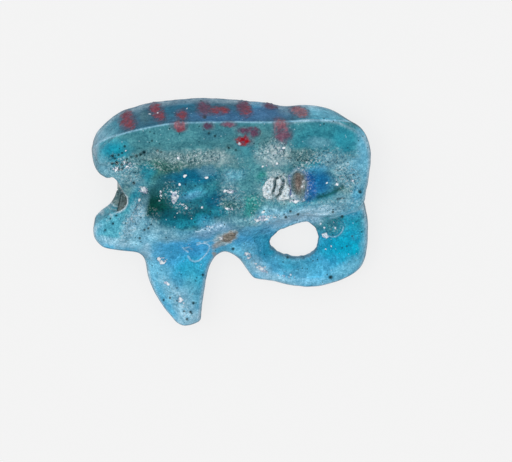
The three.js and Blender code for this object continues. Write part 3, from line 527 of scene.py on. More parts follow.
# The lip's white line and band are its pale glassy rim and a painted highlight on it.
LIP_LINE = (0.6, 0.55)
LIP_BAND = (0.09, 0.25, 0.9)
STREAK_FADE = (-0.3, 0.5)
STREAK_STRETCH = 2.5
BROKEN_FADE = (-0.25, 0.35)
# Where the brow's top side can be, as shares of HEIGHT above the middle.
UPPER_FADE = (0.2, 0.25)
# How far the blue of the limbs and the calmer glaze reach, in the photograph's pixels downward.
BLUE_FADE = (222, 245)
EYE_FADE = (150, 178)
LIMB_FADE = (232, 250)
ARRIS_FADE = 0.9
# How far a surface faces along the brow's top side, as its direction's share of +Y.
FACING_UP_FADE = (0.3, 0.7)
HOLE_LINE_FADE = (0.4, 0.75)
BROW_LIVELINESS = 0.15
LIMB_LIVELINESS = 0.5
PIT_SHADE = 0.95
STAIN = 0.35
# The red of the dabs: darker and clearer spots, and frayed edges.
DAB_NOISE_SIZES = (0.25, 0.2, 0.15)
DARK_RED = 0.5
DARK_RED_FADE = (0.0, 0.7)
CLEAR_GLAZE = 0.35
CLEAR_GLAZE_FADE = (0.1, 0.8)
EDGE_FRAY = 0.3
LEAST_WEIGHT = 1e-6

# The glaze's noise textures: features per millimetre, detail and distortion.
NEAR_CLOUDS = [(1.1, 5, 0.6), (8.5, 2, 0), (5.6, 2.5, 0.8)]
APART_CLOUDS = [(3.2, 4, 1), (6.4, 2.5, 0.8), (4.2, 4, 1.4)]
# How they shade the colour: the noise's range, and the tints at its two ends.
SHADES = {
    "mottle": (0.3, 0.7, (0.78, 0.84, 0.86), (1.24, 1.17, 1.14)),
    "feather": (0.36, 0.64, (0.76, 0.85, 0.88), (1.26, 1.16, 1.13)),
    "fine": (0.3, 0.7, (0.8, 0.85, 0.87), (1.22, 1.17, 1.15)),
    "curdled": (0.38, 0.62, (0.67, 0.79, 0.84), (1.38, 1.23, 1.18)),
}
# Round dots: cells per millimetre, the share that stays empty, the largest radius, strength and colour.
# The pores are darkened with painted shade.
PORES = (2.6, 0.35, 0.19, 0.8, (0.006, 0.05, 0.07, 1))
# The sparks are painted sparkle highlights.
SPARKS = (3.0, 0.45, 0.16, 0.4, (0.55, 0.76, 0.85, 1))
# Dark gaps and light grains: where their noise starts and is full, their strength and their colours. The
# light grains are partly pale crystals and partly painted sparkle.
GAPS_FADE = (0.5, 0.4)
GAPS_DARK = 0.8
GRAIN_DARK = (0.2, 0.36, 0.4, 1)
GRAIN_FADE = (0.53, 0.62)
GRAIN_LIGHT = 0.65
GRAIN_LIGHTS = ((0.34, 0.52, 0.54, 1), (0.7, 0.82, 0.86, 1))
GRAIN_LIGHTS_FADE = (0.42, 0.58)
# Frost, with its painted sparkle, and the painted glints share one mark. Frost breaks into crumbs, and above
# its range the mark is a glint.
CRUMB_FADE = (0.72, 0.88)
FROST_AND_SPARKLE_FADE = (0.05, 0.4)
FROST_AND_SPARKLE_COLOURS = ((0.42, 0.5, 0.66, 1), (0.85, 0.92, 0.98, 1))
FROST_AND_SPARKLE_COLOURS_FADE = (0.4, 0.6)
GLINT_MARK_FADE = (1.05, 1.35)
GLINT_COLOUR = (0.9, 0.95, 0.98, 1)
# The glaze's roughness, as a scale and a least value, and what the grains add. Then the bumps: the heights
# of frost, fine noise, mottle and pores, and the depth and strength of them all.
GLAZE_ROUGHNESS = (0.1, 0.06)
GRAIN_ROUGHNESS = 0.15
BUMP_HEIGHTS = (0.8, 0.3, 0.6, -0.8)
GLAZE_BUMPS = (0.07, 0.9)
PLACES_SHIFT = 37.0
GLAZE_SHINE = 0.4
# The other materials, of broad and fine noise and of cells. The shades are as above. A mix has its range,
# its most and its colour. The roughness has a scale and a least value. The bumps have the cells' height, then
# the depth and the strength.
FINISHES = {
    "fired quartz body": {
        "broad": (1.6, 4, 0), "fine": (9, 3, 0), "cells": 6,
        "shades": [
            ("broad", 0.35, 0.65, (0.75, 0.72, 0.7), (1.3, 1.25, 1.2)),
            ("fine", 0.38, 0.64, (0.6, 0.62, 0.64), (1.5, 1.5, 1.5)),
        ],
        "mixes": [("cells", 0.35, 0.85, 0.4, (0.05, 0.04, 0.035, 1))],
        "roughness": ("broad", 0.3, 0.3), "bumps": (-0.8, 0.08, 0.9),
    },
    "red glaze": {
        "broad": (3, 4, 0.5), "fine": (8, 3, 0), "cells": 6,
        "shades": [
            ("broad", 0.35, 0.65, (0.8, 0.82, 0.85), (1.2, 1.15, 1.12)),
            ("fine", 0.32, 0.68, (0.78, 0.82, 0.86), (1.24, 1.18, 1.15)),
        ],
        "mixes": [("cells", 0.45, 0.85, 0.3, (0.05, 0.07, 0.11, 1))],
        "roughness": ("fine", 0.15, 0.08), "bumps": (-0.5, 0.04, 0.7),
    },
    "white crust": {
        "broad": (2.5, 4, 0), "fine": (9, 3, 0), "cells": 5.4,
        "shades": [("broad", 0.35, 0.65, (0.9, 1.08, 1.16), (1.16, 1.2, 1.16))],
        "mixes": [
            ("cells", 0.54, 0.72, 0.8, (0.14, 0.28, 0.34, 1)),
            ("fine", 0.42, 0.6, 0.75, (0.93, 0.98, 1.0, 1)),
        ],
        "roughness": ("fine", 0.3, 0.2), "bumps": (-1.2, 0.14, 0.9),
    },
}

# Lamps: direction, apparent width in degrees and strength.
SUNS = {
    "key": ((-0.55, 0.6, 1.0), 85, 1.17),
    "glint": ((-0.6, 0.3, 1.0), 5, 0.1),
    "right glint": ((0.5, 0.35, 1.0), 6, 0.06),
    "low glint": ((-0.5, -0.8, 1.0), 6, 0.05),
}
# The strengths that light the amulet, and the ones that are mirrored in its glaze.
WORLD_STRENGTHS = (0.67, 0.08)
FLOOR_STRENGTHS = (0.75, 0.02)
FLOOR_ALBEDO = 0.15
FLOOR_SIZE = 1.2
NEAREST_SEEN = 0.001


def smoothstep(low, high, value):
    share = np.clip((value - low) / (high - low), 0, 1)
    return share * share * (3 - 2 * share)


def lerp(low, high, share):
    return low + (high - low) * share


def falloff(distance, width):
    """1 where the distance is zero, fading out over a width."""
    return np.exp(-((distance / width) ** 2))


def noise(x, y, size, seed):
    """Smooth noise between -1 and 1 over a plane, with features of the given size."""
    table = np.random.default_rng(seed).uniform(-1, 1, (NOISE_TABLE, NOISE_TABLE))
    across = x / size + NOISE_SHIFT
    up = y / size + NOISE_SHIFT
    column = np.floor(across).astype(int)
    row = np.floor(up).astype(int)
    share_x = smoothstep(0, 1, across - column)
    share_y = smoothstep(0, 1, up - row)

    def corner(step_x, step_y):
        return table[(column + step_x) % NOISE_TABLE, (row + step_y) % NOISE_TABLE]

    low = lerp(corner(0, 0), corner(1, 0), share_x)
    high = lerp(corner(0, 1), corner(1, 1), share_x)
    return lerp(low, high, share_y)


def waves(x, y, name):
    return sum(strength * noise(x, y, size, seed) for strength, size, seed in WAVES[name])


def place(shares):
    along, up = shares[0], shares[1]
    return (along - 0.5) * LENGTH, (up - 0.5) * HEIGHT


def to_pixels(x, y, z):
    """Where a point of the amulet lies in the photograph."""
    upward = y * math.cos(TILT) - z * math.sin(TILT)
    toward = y * math.sin(TILT) + z * math.cos(TILT) - MIDDLE_DEPTH
    nearer = CAMERA_DISTANCE / (CAMERA_DISTANCE - toward)
    u = PHOTO_MIDDLE[0] + (MIDDLE_U - PHOTO_MIDDLE[0] + x / PHOTO_SCALE) * nearer
    v = PHOTO_MIDDLE[1] + (MIDDLE_V - PHOTO_MIDDLE[1] - upward / PHOTO_SCALE) * nearer
    return u, v


def closed_spline(rows, steps):
    """A smooth closed line through rows of numbers."""
    rows = np.array(rows, dtype=float)
    count = len(rows)
    at = np.arange(steps) * count / steps
    index = np.floor(at).astype(int)
    t = (at - index)[:, None]
    before, start, end, after = (rows[(index + step) % count] for step in (-1, 0, 1, 2))
    straight = 2 * start + (end - before) * t
    bend = (2 * before - 5 * start + 4 * end - after) * t ** 2
    twist = (3 * start - before - 3 * end + after) * t ** 3
    return (straight + bend + twist) / 2


def rim_line():
    """The outline, stretched to fill the frame's box, with the edge roll as its third number."""
    rows = [(*place(row), row[2] * EDGE_ROLL) for row in RIM_SHARES]
    line = closed_spline(rows, RIM_STEPS)
    for axis, span in ((0, LENGTH), (1, HEIGHT)):
        low, high = line[:, axis].min(), line[:, axis].max()
        line[:, axis] = (line[:, axis] - (low + high) / 2) * span / (high - low)
    return line


RIM = rim_line()
HOLE = closed_spline([place(row) for row in HOLE_SHARES], HOLE_STEPS)


def nearest(x, y, line, closed=True):
    """The distance from each place to a line, and the line's third number there, if it has one."""
    best = np.full(np.shape(x), np.inf)
    value = np.zeros(np.shape(x))
    count = len(line) if closed else len(line) - 1
    for index in range(count):
        start = line[index]
        end = line[(index + 1) % len(line)]
        span_x, span_y = end[0] - start[0], end[1] - start[1]
        square = span_x ** 2 + span_y ** 2
        if square == 0:
            continue
        share = np.clip(((x - start[0]) * span_x + (y - start[1]) * span_y) / square, 0, 1)
        distance = np.hypot(x - start[0] - share * span_x, y - start[1] - share * span_y)
        closer = distance < best
        best[closer] = distance[closer]
        if len(start) > 2:
            value[closer] = (start[2] + share * (end[2] - start[2]))[closer]
    return best, value


def inside(x, y, line):
    result = np.zeros(np.shape(x), dtype=bool)
    for index in range(len(line)):
        start, end = line[index - 1], line[index]
        if start[1] == end[1]:
            continue
        crosses = (start[1] > y) != (end[1] > y)
        result ^= crosses & (x < start[0] + (y - start[1]) * (end[0] - start[0]) / (end[1] - start[1]))
    return result


def ellipse(u, v, middle_u, middle_v, half_u, half_v, turn):
    """How far out a place lies from an ellipse's middle, where 1 is on its edge."""
    angle = math.radians(turn)
    across = u - middle_u
    down = v - middle_v
    along = across * math.cos(angle) - down * math.sin(angle)
    beside = across * math.sin(angle) + down * math.cos(angle)
    return np.hypot(along / half_u, beside / half_v)


def broad_level(x, y):
    """The front surface without its fine relief."""
    fall_start, fall_end = FALL_SHARES
    fall = FACE_FALL * smoothstep(LENGTH * fall_start, LENGTH * fall_end, x)
    step = lerp(STEP_WIDE, STEP_NARROW, smoothstep(0, LENGTH / 4, x))
    edge_places = np.array([place(row) for row in BODY_EDGE_SHARES])
    edge = np.interp(x, edge_places[:, 0], edge_places[:, 1])
    level = lerp(LIMB_LEVEL, FACE_LEVEL - fall, smoothstep(-1, 1, (y - edge) / step))
    for height_share, width_share, shares in LINE_SHARES:
        line = np.array([place(row) for row in shares])
        distance, _ = nearest(x, y, line, closed=False)
        level += height_share * RELIEF * falloff(distance, width_share * LENGTH)
    for height_share, along, up, half_x, half_y, turn in BOWL_SHARES:
        middle_x, middle_y = place((along, up))
        reach = ellipse(x, -y, middle_x, -middle_y, half_x * LENGTH, half_y * LENGTH, turn)
        level += height_share * RELIEF * falloff(reach, 1)
    return level


def patch_mask(u, v, patches):
    """The strongest of some soft patches at a place in the photograph's pixels."""
    mask = np.zeros(np.shape(u))
    for *shape, strength in patches:
        mask = np.maximum(mask, strength * smoothstep(*PATCH_FADE, ellipse(u, v, *shape)))
    return mask


def pocket_share(u, v):
    """How far into the string hole's mouth a place lies, from 0 on its lip to 1."""
    distance, _ = nearest(u, v, POCKET)
    return np.where(inside(u, v, POCKET), smoothstep(0, POCKET_LIP, distance), 0)


def pit_reaches(u, v):
    """How far out the places lie from each pit, and the pit's depth."""
    for (radius, depth), middles in PITS.items():
        for middle in middles:
            yield ellipse(u, v, *middle, radius, radius, 0), depth


def fine_relief(x, y, level):
    u, v = to_pixels(x, y, level)
    relief = -POCKET_DEPTH * pocket_share(u, v)
    for height, half_width, line in FINE_LINES:
        distance, _ = nearest(u, v, np.array(line, dtype=float), closed=False)
        relief += height * falloff(distance * PHOTO_SCALE, half_width)
    for *shape, ring, depth in BLISTERS:
        reach = ellipse(u, v, *shape)
        relief += ring * falloff(reach - 1, BLISTER_RING) - depth * smoothstep(*BLISTER_FADE, reach)
    for reach, depth in pit_reaches(u, v):
        relief -= depth * falloff(reach, 1)
    rough = patch_mask(u, v, GRAIN_PATCHES) + patch_mask(u, v, FROST_AND_SPARKLE_PATCHES)
    return relief + rough * waves(x, y, "roughness") + waves(x, y, "swell")


def rounded_min(a, b, radius):
    """The smaller of two depths, with the corner between them rounded off."""
    past_a = np.maximum(radius - a, 0)
    past_b = np.maximum(radius - b, 0)
    rounded = radius - np.hypot(past_a, past_b)
    return np.where((past_a > 0) & (past_b > 0), rounded, np.minimum(a, b))


def soft_min(a, b, width):
    blend = np.maximum(width - np.abs(a - b), 0) / width
    return np.minimum(a, b) - blend ** 2 * width / 4


class Surface:
    """The amulet's surface over a grid of places: levels, distances to the outline, and glaze wall."""

    def __init__(self, xs, ys):
        x, y = np.meshgrid(xs, ys, indexing="ij")
        self.x, self.y = x, y
        self.rim, roll = nearest(x, y, RIM)
        self.rim[~inside(x, y, RIM)] *= -1
        self.hole, _ = nearest(x, y, HOLE)
        self.hole[inside(x, y, HOLE)] *= -1
        self.hole += waves(x, y, "hole edge")
        self.rim += waves(x, y, "rim edge") - RIM_TRIM
        broad = broad_level(x, y)
        funnel = falloff(np.maximum(self.hole, 0), HOLE_FUNNEL)
        broad -= (broad - HOLE_RIM_LEVEL) * funnel
        self.level = soft_min(broad + fine_relief(x, y, broad), np.full(x.shape, HIGHEST), CEILING_BLEND)
        slope_x, slope_y = np.gradient(self.level, xs, ys)
        self.steepness = np.sqrt(1 + slope_x ** 2 + slope_y ** 2)
        roll = np.minimum(roll, self.level * ROLL_LEVEL_SHARE)
        self.roll = np.where(self.hole < self.rim, HOLE_ROLL, roll)
        upper = smoothstep(HEIGHT / 4, HEIGHT / 3, y)
        self.draft = BROW_DRAFT * upper * (1 - smoothstep(0, LENGTH / 4, x))
        corner_x, corner_y = place(CORNER_SHARES)
        self.lean = CORNER_LEAN * falloff(np.hypot(x - corner_x, y - corner_y), CORNER_REACH)
        below = 1 - smoothstep(0, HEIGHT / 4, y)
        self.back = BACK_ROUNDING * np.maximum(smoothstep(0, LENGTH / 3, x), below) + LEAST_ROUNDING
        bare = self.bare_reach()
        self.wall = lerp(GLAZE_WALL, -GLAZE_GAP, smoothstep(*WALL_FADE, bare))
        self.core_wall = lerp(GLAZE_WALL, -FLUSH_WALL, smoothstep(*CORE_WALL_FADE, bare))

    def bare_reach(self):
        """How far out each place lies from the nearest bare patch's middle, where 1 is on its edge."""
        u, v = to_pixels(self.x, self.y, self.level)
        reaches = [ellipse(u, v, *patch) for patch in BARE_PATCHES]
        return np.min(reaches, axis=0) + waves(self.x, self.y, "bare edge")

    def body_field(self, z):
        """Depth below the glazed surface, leaving out the back, over the grid's places and levels z."""
        edge = self.rim[:, :, None] - self.draft[:, :, None] * np.clip(z / FACE_LEVEL, 0, 1)
        edge = edge - self.lean[:, :, None] * np.clip(1 - z / CORNER_RISE, 0, 1)
        edge = np.minimum(edge, self.hole[:, :, None])
        top = (self.level[:, :, None] - z) / self.steepness[:, :, None]
        return rounded_min(edge, top, self.roll[:, :, None])


def bore_field(y, z, radius):
    return np.hypot(y - place(MOUTH_SHARES)[1], z - BORE_LEVEL) - radius


def mouth_field(x, y, z, step):
    centre_x, centre_y = place(MOUTH_SHARES)
    half_x, half_y, half_z = (half - step for half in MOUTH_HALVES)
    across = ((x - centre_x) / half_x) ** 2 + ((y - centre_y) / half_y) ** 2
    reach = np.sqrt(across + ((z - MOUTH_LEVEL) / half_z) ** 2)
    return (reach - 1) * half_y


def sample(field, points):
    """A field's value between its grid places."""
    low = np.clip(np.floor(points).astype(int), 0, np.array(field.shape) - 2)
    share = np.clip(points - low, 0, 1)
    total = np.zeros(len(points))
    for steps in np.ndindex(2, 2, 2):
        weight = np.where(steps, share, 1 - share).prod(axis=1)
        total += weight * field[tuple((low + steps).T)]
    return total


def cells_back(places, axes, steps):
    """The cells some steps before the places, along two axes."""
    cell = places.copy()
    cell[:, axes] -= steps
    return cell


class Net:
    """A mesh of the surface where a field changes sign. The field is above zero inside."""

    def __init__(self, field, origin, step):
        self.trace(field)
        self.keep_largest()
        self.settle(field)
        self.points = self.points * step + np.array(origin)

    def trace(self, field):
        shape = np.array(field.shape)
        cells = shape - 1
        total = np.zeros((*cells, 3), dtype=np.float32)
        count = np.zeros(cells, dtype=np.int16)
        crossings = []
        for axis in range(3):
            low = [slice(None)] * 3
            high = [slice(None)] * 3
            low[axis] = slice(0, -1)
            high[axis] = slice(1, None)
            start, end = field[tuple(low)], field[tuple(high)]
            places = np.argwhere((start > 0) != (end > 0))
            first = start[tuple(places.T)]
            last = end[tuple(places.T)]
            point = places.astype(np.float32)
            point[:, axis] += first / (first - last)
            others = [other for other in range(3) if other != axis]
            for steps in np.ndindex(2, 2):
                cell = cells_back(places, others, steps)
                good = np.all((cell >= 0) & (cell < cells), axis=1)
                np.add.at(total, tuple(cell[good].T), point[good])
                np.add.at(count, tuple(cell[good].T), 1)
            inner = np.all((places[:, others] > 0) & (places[:, others] < shape[others] - 1), axis=1)
            crossings.append((axis, others, places[inner], first[inner] > 0))
        active = np.argwhere(count > 0)
        number = np.full(cells, -1, dtype=np.int64)
        number[tuple(active.T)] = np.arange(len(active))
        self.points = total[tuple(active.T)] / count[tuple(active.T)][:, None]
        quads = []
        for axis, others, places, leaving in crossings:
            corners = [cells_back(places, others, steps) for steps in ((1, 1), (0, 1), (0, 0), (1, 0))]
            quad = np.stack([number[tuple(cell.T)] for cell in corners], axis=1)
            flip = leaving if axis == 1 else ~leaving
            quad[flip] = quad[flip][:, ::-1]
            quads.append(quad)
        self.quads = np.concatenate(quads)

    def keep_largest(self):
        """Drops specks that aren't joined to the largest piece."""
        label = np.arange(len(self.points))
        while True:
            lowest = label[self.quads].min(axis=1)
            new = label.copy()
            for corner in range(4):
                np.minimum.at(new, self.quads[:, corner], lowest)
            new = new[new]
            if np.array_equal(new, label):
                break
            label = new
        names, sizes = np.unique(label[self.quads[:, 0]], return_counts=True)
        self.keep(label == names[np.argmax(sizes)])

    def keep(self, chosen):
        """Keeps the chosen points and the quads between them."""
        renumber = np.cumsum(chosen) - 1
        self.quads = renumber[self.quads[chosen[self.quads].all(axis=1)]]
        self.points = self.points[chosen]
        if hasattr(self, "normals"):
            self.normals = self.normals[chosen]

    def settle(self, field):
        """Moves each point onto the surface and finds which way it faces."""
        parts = np.gradient(field)

        def slope_here():
            return np.stack([sample(part, self.points) for part in parts], axis=1)

        for _ in range(SETTLE_ROUNDS):
            slope = slope_here()
            square = np.maximum((slope ** 2).sum(axis=1), TINY)
            shift = -(sample(field, self.points) / square)[:, None] * slope
            length = np.linalg.norm(shift, axis=1)[:, None]
            self.points = self.points + shift * np.minimum(1, FARTHEST_SHIFT / np.maximum(length, TINY))
        slope = slope_here()
        self.normals = -slope / np.maximum(np.linalg.norm(slope, axis=1), TINY)[:, None]


def make_object(name, points, quads, normals=None):
    mesh = bpy.data.meshes.new(name)
    mesh.vertices.add(len(points))
    mesh.vertices.foreach_set("co", (points * MM).astype(np.float32).ravel())
    mesh.loops.add(len(quads) * 4)
    mesh.loops.foreach_set("vertex_index", quads.astype(np.int32).ravel())
    mesh.polygons.add(len(quads))
    mesh.polygons.foreach_set("loop_start", np.arange(0, len(quads) * 4, 4, dtype=np.int32))
    mesh.update(calc_edges=True)
    mesh.shade_smooth()
    if normals is not None:
        mesh.normals_split_custom_set_from_vertices(normals.astype(np.float32))
    thing = bpy.data.objects.new(name, mesh)
    bpy.context.collection.objects.link(thing)
    return thing


def store(thing, name, values):
    """Keeps three numbers for each point of a mesh, under a name that its material reads."""
    attribute = thing.data.color_attributes.new(name, "FLOAT_COLOR", "POINT")
    full = np.column_stack([values, np.ones(len(values))])
    attribute.data.foreach_set("color", full.astype(np.float32).ravel())


def grid(low, high, step):
    return np.arange(low - PAD_STEPS * step, high + PAD_STEPS * step, step)


def whole_grid(step):
    """The grid's first corner, the surface over it, and its places."""
    xs = grid(-LENGTH / 2, LENGTH / 2, step)
    ys = grid(-HEIGHT / 2, HEIGHT / 2, step)
    zs = grid(0, HIGHEST, step)
    return (xs[0], ys[0], zs[0]), Surface(xs, ys), xs[:, None, None], ys[None, :, None], zs[None, None, :]


def glaze_net():
    corner, surface, x, y, z = whole_grid(SKIN_STEP)
    body = surface.body_field(z)
    outer = rounded_min(body, z - GLAZE_LIFT, surface.back[:, :, None])
    skin = np.minimum(outer, surface.wall[:, :, None] - body)
    skin = soft_min(skin, bore_field(y, z, BORE_RADIUS + GLAZE_GAP), BORE_BLEND)
    skin = soft_min(skin, mouth_field(x, y, z, 0), BORE_BLEND)
    return Net(skin, corner, SKIN_STEP)


def core_net():
    corner, surface, x, y, z = whole_grid(CORE_STEP)
    gap = GLAZE_GAP * smoothstep(*GAP_REACH, mouth_field(x, y, z, 0))
    core = surface.body_field(z) - surface.core_wall[:, :, None] - gap
    core = np.minimum(core, z)
    core = np.minimum(core, bore_field(y, z, BORE_RADIUS))
    core = soft_min(core, mouth_field(x, y, z, MOUTH_STEP), BORE_BLEND)
    return Net(core, corner, CORE_STEP)


def lobes_reach(lobes):
    """Measures how far out a place lies from some lobes that run together."""
    def measure(u, v):
        near = [np.exp(-LOBE_BLEND * ellipse(u, v, *shape)) for _, *shape in lobes]
        return -np.log(np.sum(near, axis=0)) / LOBE_BLEND

    return measure


def polygon_reach(corners):
    """Measures how far out a place lies from a plate, where 1 is on its edge."""
    line = np.array(corners, dtype=float)

    def measure(u, v):
        distance, _ = nearest(u, v, line)
        return 1 + np.where(inside(u, v, line), -distance, distance) / PLATE_BEVEL

    return measure


def face_patch(net, measure, ragged, seed):
    """The part of the glazed surface that shows where a measure is under 1, on a finer grid."""
    toward = np.array(TOWARD_CAMERA)
    u, v = to_pixels(*net.points.T)
    near = (measure(u, v) < BORDER_REACH) & (net.normals @ toward > FACING_LEAST)
    low = net.points[near].min(axis=0)
    high = net.points[near].max(axis=0)
    xs, ys, zs = (grid(low[axis], high[axis], DAB_STEP) for axis in range(3))
    body = Surface(xs, ys).body_field(zs[None, None, :])
    patch = Net(body, (xs[0], ys[0], zs[0]), DAB_STEP)
    x, y, z = patch.points.T
    u, v = to_pixels(x, y, z)
    frayed = [noise(x, y + z, size, seed + step) for step, size in enumerate(FRAYED_SIZES)]
    reach = measure(u, v) + ragged * sum(frayed)
    chosen = (reach < 1) & (patch.normals @ toward > FACING_LEAST)
    patch.keep(chosen)
    patch.reach = reach[chosen]
    return patch


def make_sheet(name, patch, thickness, gap, colours=None):
    """A thin closed sheet lying on a patch, thinning out to its edges."""
    count = len(patch.points)
    rise = thickness * lerp(SHEET_EDGE_SHARE, 1, smoothstep(*SHEET_FADE, patch.reach))
    top = patch.points + patch.normals * (gap + rise)[:, None]
    bottom = patch.points + patch.normals * gap
    edges = {}
    for quad in patch.quads:
        for start, end in zip(quad, np.roll(quad, -1)):
            edges[(start, end)] = True
    sides = [(end, start, start + count, end + count) for start, end in edges if (end, start) not in edges]
    quads = np.concatenate([patch.quads, patch.quads[:, ::-1] + count, np.array(sides)])
    used = np.unique(quads)
    points = np.concatenate([top, bottom])[used]
    renumber = np.zeros(2 * count, dtype=np.int64)
    renumber[used] = np.arange(len(used))
    thing = make_object(name, points, renumber[quads])
    if colours is not None:
        store(thing, "tint", np.concatenate([colours, colours])[used])
    return thing


def linear(name):
    """A colour of the palette, in the linear light that the materials use."""
    share = np.array(PALETTE[name], dtype=float) / 255
    return np.where(share <= 0.04045, share / 12.92, ((share + 0.055) / 1.055) ** 2.4)


def blend(colour, name, share):
    return lerp(colour, linear(name), share[:, None])


def plain_colour(name, count):
    return np.tile(linear(name), (count, 1))


def paint(u, v, colour, strokes):
    """Lays soft patches of colour over the colour that some places have."""
    for name, *shape, strength in strokes:
        colour = blend(colour, name, strength * smoothstep(*STROKE_FADE, ellipse(u, v, *shape)))
    return colour


def glint_share(u, v):
    u = u + waves(u, v, "glint across")
    v = v + waves(u, v, "glint down")
    share = np.zeros(len(u))
    for glint in GLINTS:
        share = np.maximum(share, smoothstep(*GLINT_FADE, ellipse(u, v, *glint, 0)))
    return share


def soft_colours(u, v, top_side):
    """The glaze's colour in soft patches, on the face and on the brow's top side."""
    face = blend(plain_colour("teal", len(u)), "azure", smoothstep(*BLUE_FADE, v))
    face = paint(u, v, face, FACE_STROKES)
    band = paint(u, v, plain_colour("slate", len(u)), BAND_STROKES)
    return lerp(face, band, top_side[:, None])


def line_colours(x, y, u, v, colour):
    """Lays thin lines over the glaze, some of them broken up."""
    broken = smoothstep(*BROKEN_FADE, waves(x, y, "broken line"))
    for name, half_width, strength, brokenness, line in LINE_STROKES:
        gap, _ = nearest(u, v, np.array(line, dtype=float), closed=False)
        colour = blend(colour, name, strength * lerp(1, broken, brokenness) * falloff(gap, half_width))
    return colour


def bare_colours(x, y, u, v, colour):
    """Colours the glaze round the bare patches, and gives how far out each place lies from each."""
    reaches = []
    for patch, (wave, rings) in zip(BARE_PATCHES, BARE_RINGS):
        reach = ellipse(u, v, *patch) + waves(x, y, wave)
        for name, strength, start, full in rings:
            colour = blend(colour, name, strength * smoothstep(start, full, reach))
        reaches.append(reach)
    return colour, reaches


def mouth_colours(x, y, z, u, v, colour):
    """Colours the string hole's mouth and its lip, and gives how far into it each place lies."""
    broad = broad_level(x, y)
    depth = np.maximum(pocket_share(*to_pixels(x, y, broad)), pocket_share(u, v)) * (z > POCKET_FLOOR)
    streaks = smoothstep(*STREAK_FADE, waves(x * STREAK_STRETCH, y, "streaks"))
    for (name, strength, start, full), texture in zip(POCKET_COLOURS, (1, streaks)):
        colour = blend(colour, name, strength * texture * smoothstep(start, full, depth))
    # The lip's white is partly a painted highlight.
    gap, _ = nearest(u, v, np.array(LIP, dtype=float), closed=False)
    width, strength = LIP_LINE
    colour = blend(colour, "white", strength * falloff(gap, width))
    width, level_width, strength = LIP_BAND
    lip = falloff(mouth_field(x, y, z, 0), width) * falloff(broad - z, level_width)
    return blend(colour, "white", strength * lip), depth


def glaze_looks(points, normals):
    """The glaze's colour, with its painted highlights, reflections and shade, and its granular, lively and
    frosted shares at some points. The frosted share holds painted sparkle and glints too.
    """
    x, y, z = points.T
    u, v = to_pixels(x, y, z)
    wobble_u = u + waves(x, y, "colour across")
    wobble_v = v + waves(x, y, "colour down")
    upper = smoothstep(*UPPER_FADE, y / HEIGHT)
    below_arris = np.interp(u, *np.array(ARRIS).T) - v
    top_side = upper * smoothstep(-ARRIS_FADE, ARRIS_FADE, below_arris)
    colour = soft_colours(wobble_u, wobble_v, top_side)
    facing_up = smoothstep(*FACING_UP_FADE, normals[:, 1])
    # Pale edges on the front are a painted reflection.
    distance, _ = nearest(x, y, RIM)
    flat, fade, strength = EDGE_REFLECTION
    edge = falloff(np.maximum(distance - flat, 0), fade) * (1 - facing_up)
    colour = blend(colour, "pale reflection", strength * edge)
    # A line of painted shade along the rim.
    width, strength = RIM_SHADE_LINE
    colour = blend(colour, "slate", strength * (1 - facing_up) * falloff(distance, width))
    # On the top side's foot, a painted highlight and, lowest down, a painted shade line.
    for name, strength, start, full in FOOT_HIGHLIGHT_AND_SHADE:
        colour = blend(colour, name, strength * facing_up * smoothstep(start, full, z))
    distance, _ = nearest(x, y, HOLE)
    width, strength = HOLE_LINE
    line = falloff(distance + waves(x, y, "hole line"), width)
    colour = blend(colour, "cocoa", strength * smoothstep(*HOLE_LINE_FADE, z / HOLE_RIM_LEVEL) * line)
    colour = line_colours(x, y, u, v, colour)
    colour, (pit_reach, _) = bare_colours(x, y, u, v, colour)
    colour, depth = mouth_colours(x, y, z, u, v, colour)
    # Painted shade darkens the pits.
    for reach, _ in pit_reaches(u, v):
        colour = blend(colour, "hollow shade", PIT_SHADE * smoothstep(*PIT_FADE, reach))
    for lobes in DABS:
        reach = lobes_reach(lobes)(u, v) + waves(x, y + z, "stain edge")
        colour = blend(colour, "plum", STAIN * smoothstep(*STAIN_FADE, reach))
    grain = patch_mask(wobble_u, wobble_v, GRAIN_PATCHES) * (1 - edge) * (1 - depth) * (1 - top_side)
    ring_reach, width, strength = PIT_RING
    ring = strength * falloff(pit_reach - ring_reach, width)
    # The frost patches carry painted sparkle and highlights as well as frosted glaze.
    frost_and_sparkle = np.maximum(patch_mask(u, v, FROST_AND_SPARKLE_PATCHES), ring) * (1 - edge / 2)
    calm = lerp(1, LIMB_LIVELINESS, smoothstep(*LIMB_FADE, v))
    lively = lerp(BROW_LIVELINESS, calm, np.maximum(smoothstep(*EYE_FADE, v), grain))
    broken = np.maximum(FROST_AND_SPARKLE_SHARE * frost_and_sparkle, GLINT_MARK * glint_share(u, v))
    return colour, np.column_stack([grain, lively, broken])


def dab_looks(patch, lobes, seed):
    """A dab's colour at its points: red in the middle, and the glaze's own colour at its edges."""
    x, y, z = patch.points.T
    u, v = to_pixels(x, y, z)
    glaze, _ = glaze_looks(patch.points, patch.normals)
    total = np.zeros((len(u), 3))
    weights = np.zeros(len(u))
    for name, *shape in lobes:
        weight = np.exp(-2 * ellipse(u, v, *shape) ** 2) + LEAST_WEIGHT
        total += weight[:, None] * linear(name)
        weights += weight
    red = total / weights[:, None]
    dark, fray, clear = (noise(x, y + z, size, seed + step) for step, size in enumerate(DAB_NOISE_SIZES))
    red = blend(red, "plum", DARK_RED * smoothstep(*DARK_RED_FADE, dark))
    red = lerp(red, glaze, CLEAR_GLAZE * smoothstep(*CLEAR_GLAZE_FADE, clear)[:, None])
    share = smoothstep(*RED_FADE, patch.reach + EDGE_FRAY * fray)
    colour = lerp(glaze, red, share[:, None])
    return blend(colour, "white", glint_share(u, v))


def core_looks(points):
    """The body's colour, greyer at the bare patches and in the string hole's mouth."""
    u, v = to_pixels(*points.T)
    return paint(u, v, plain_colour("umber", len(u)), CORE_STROKES)


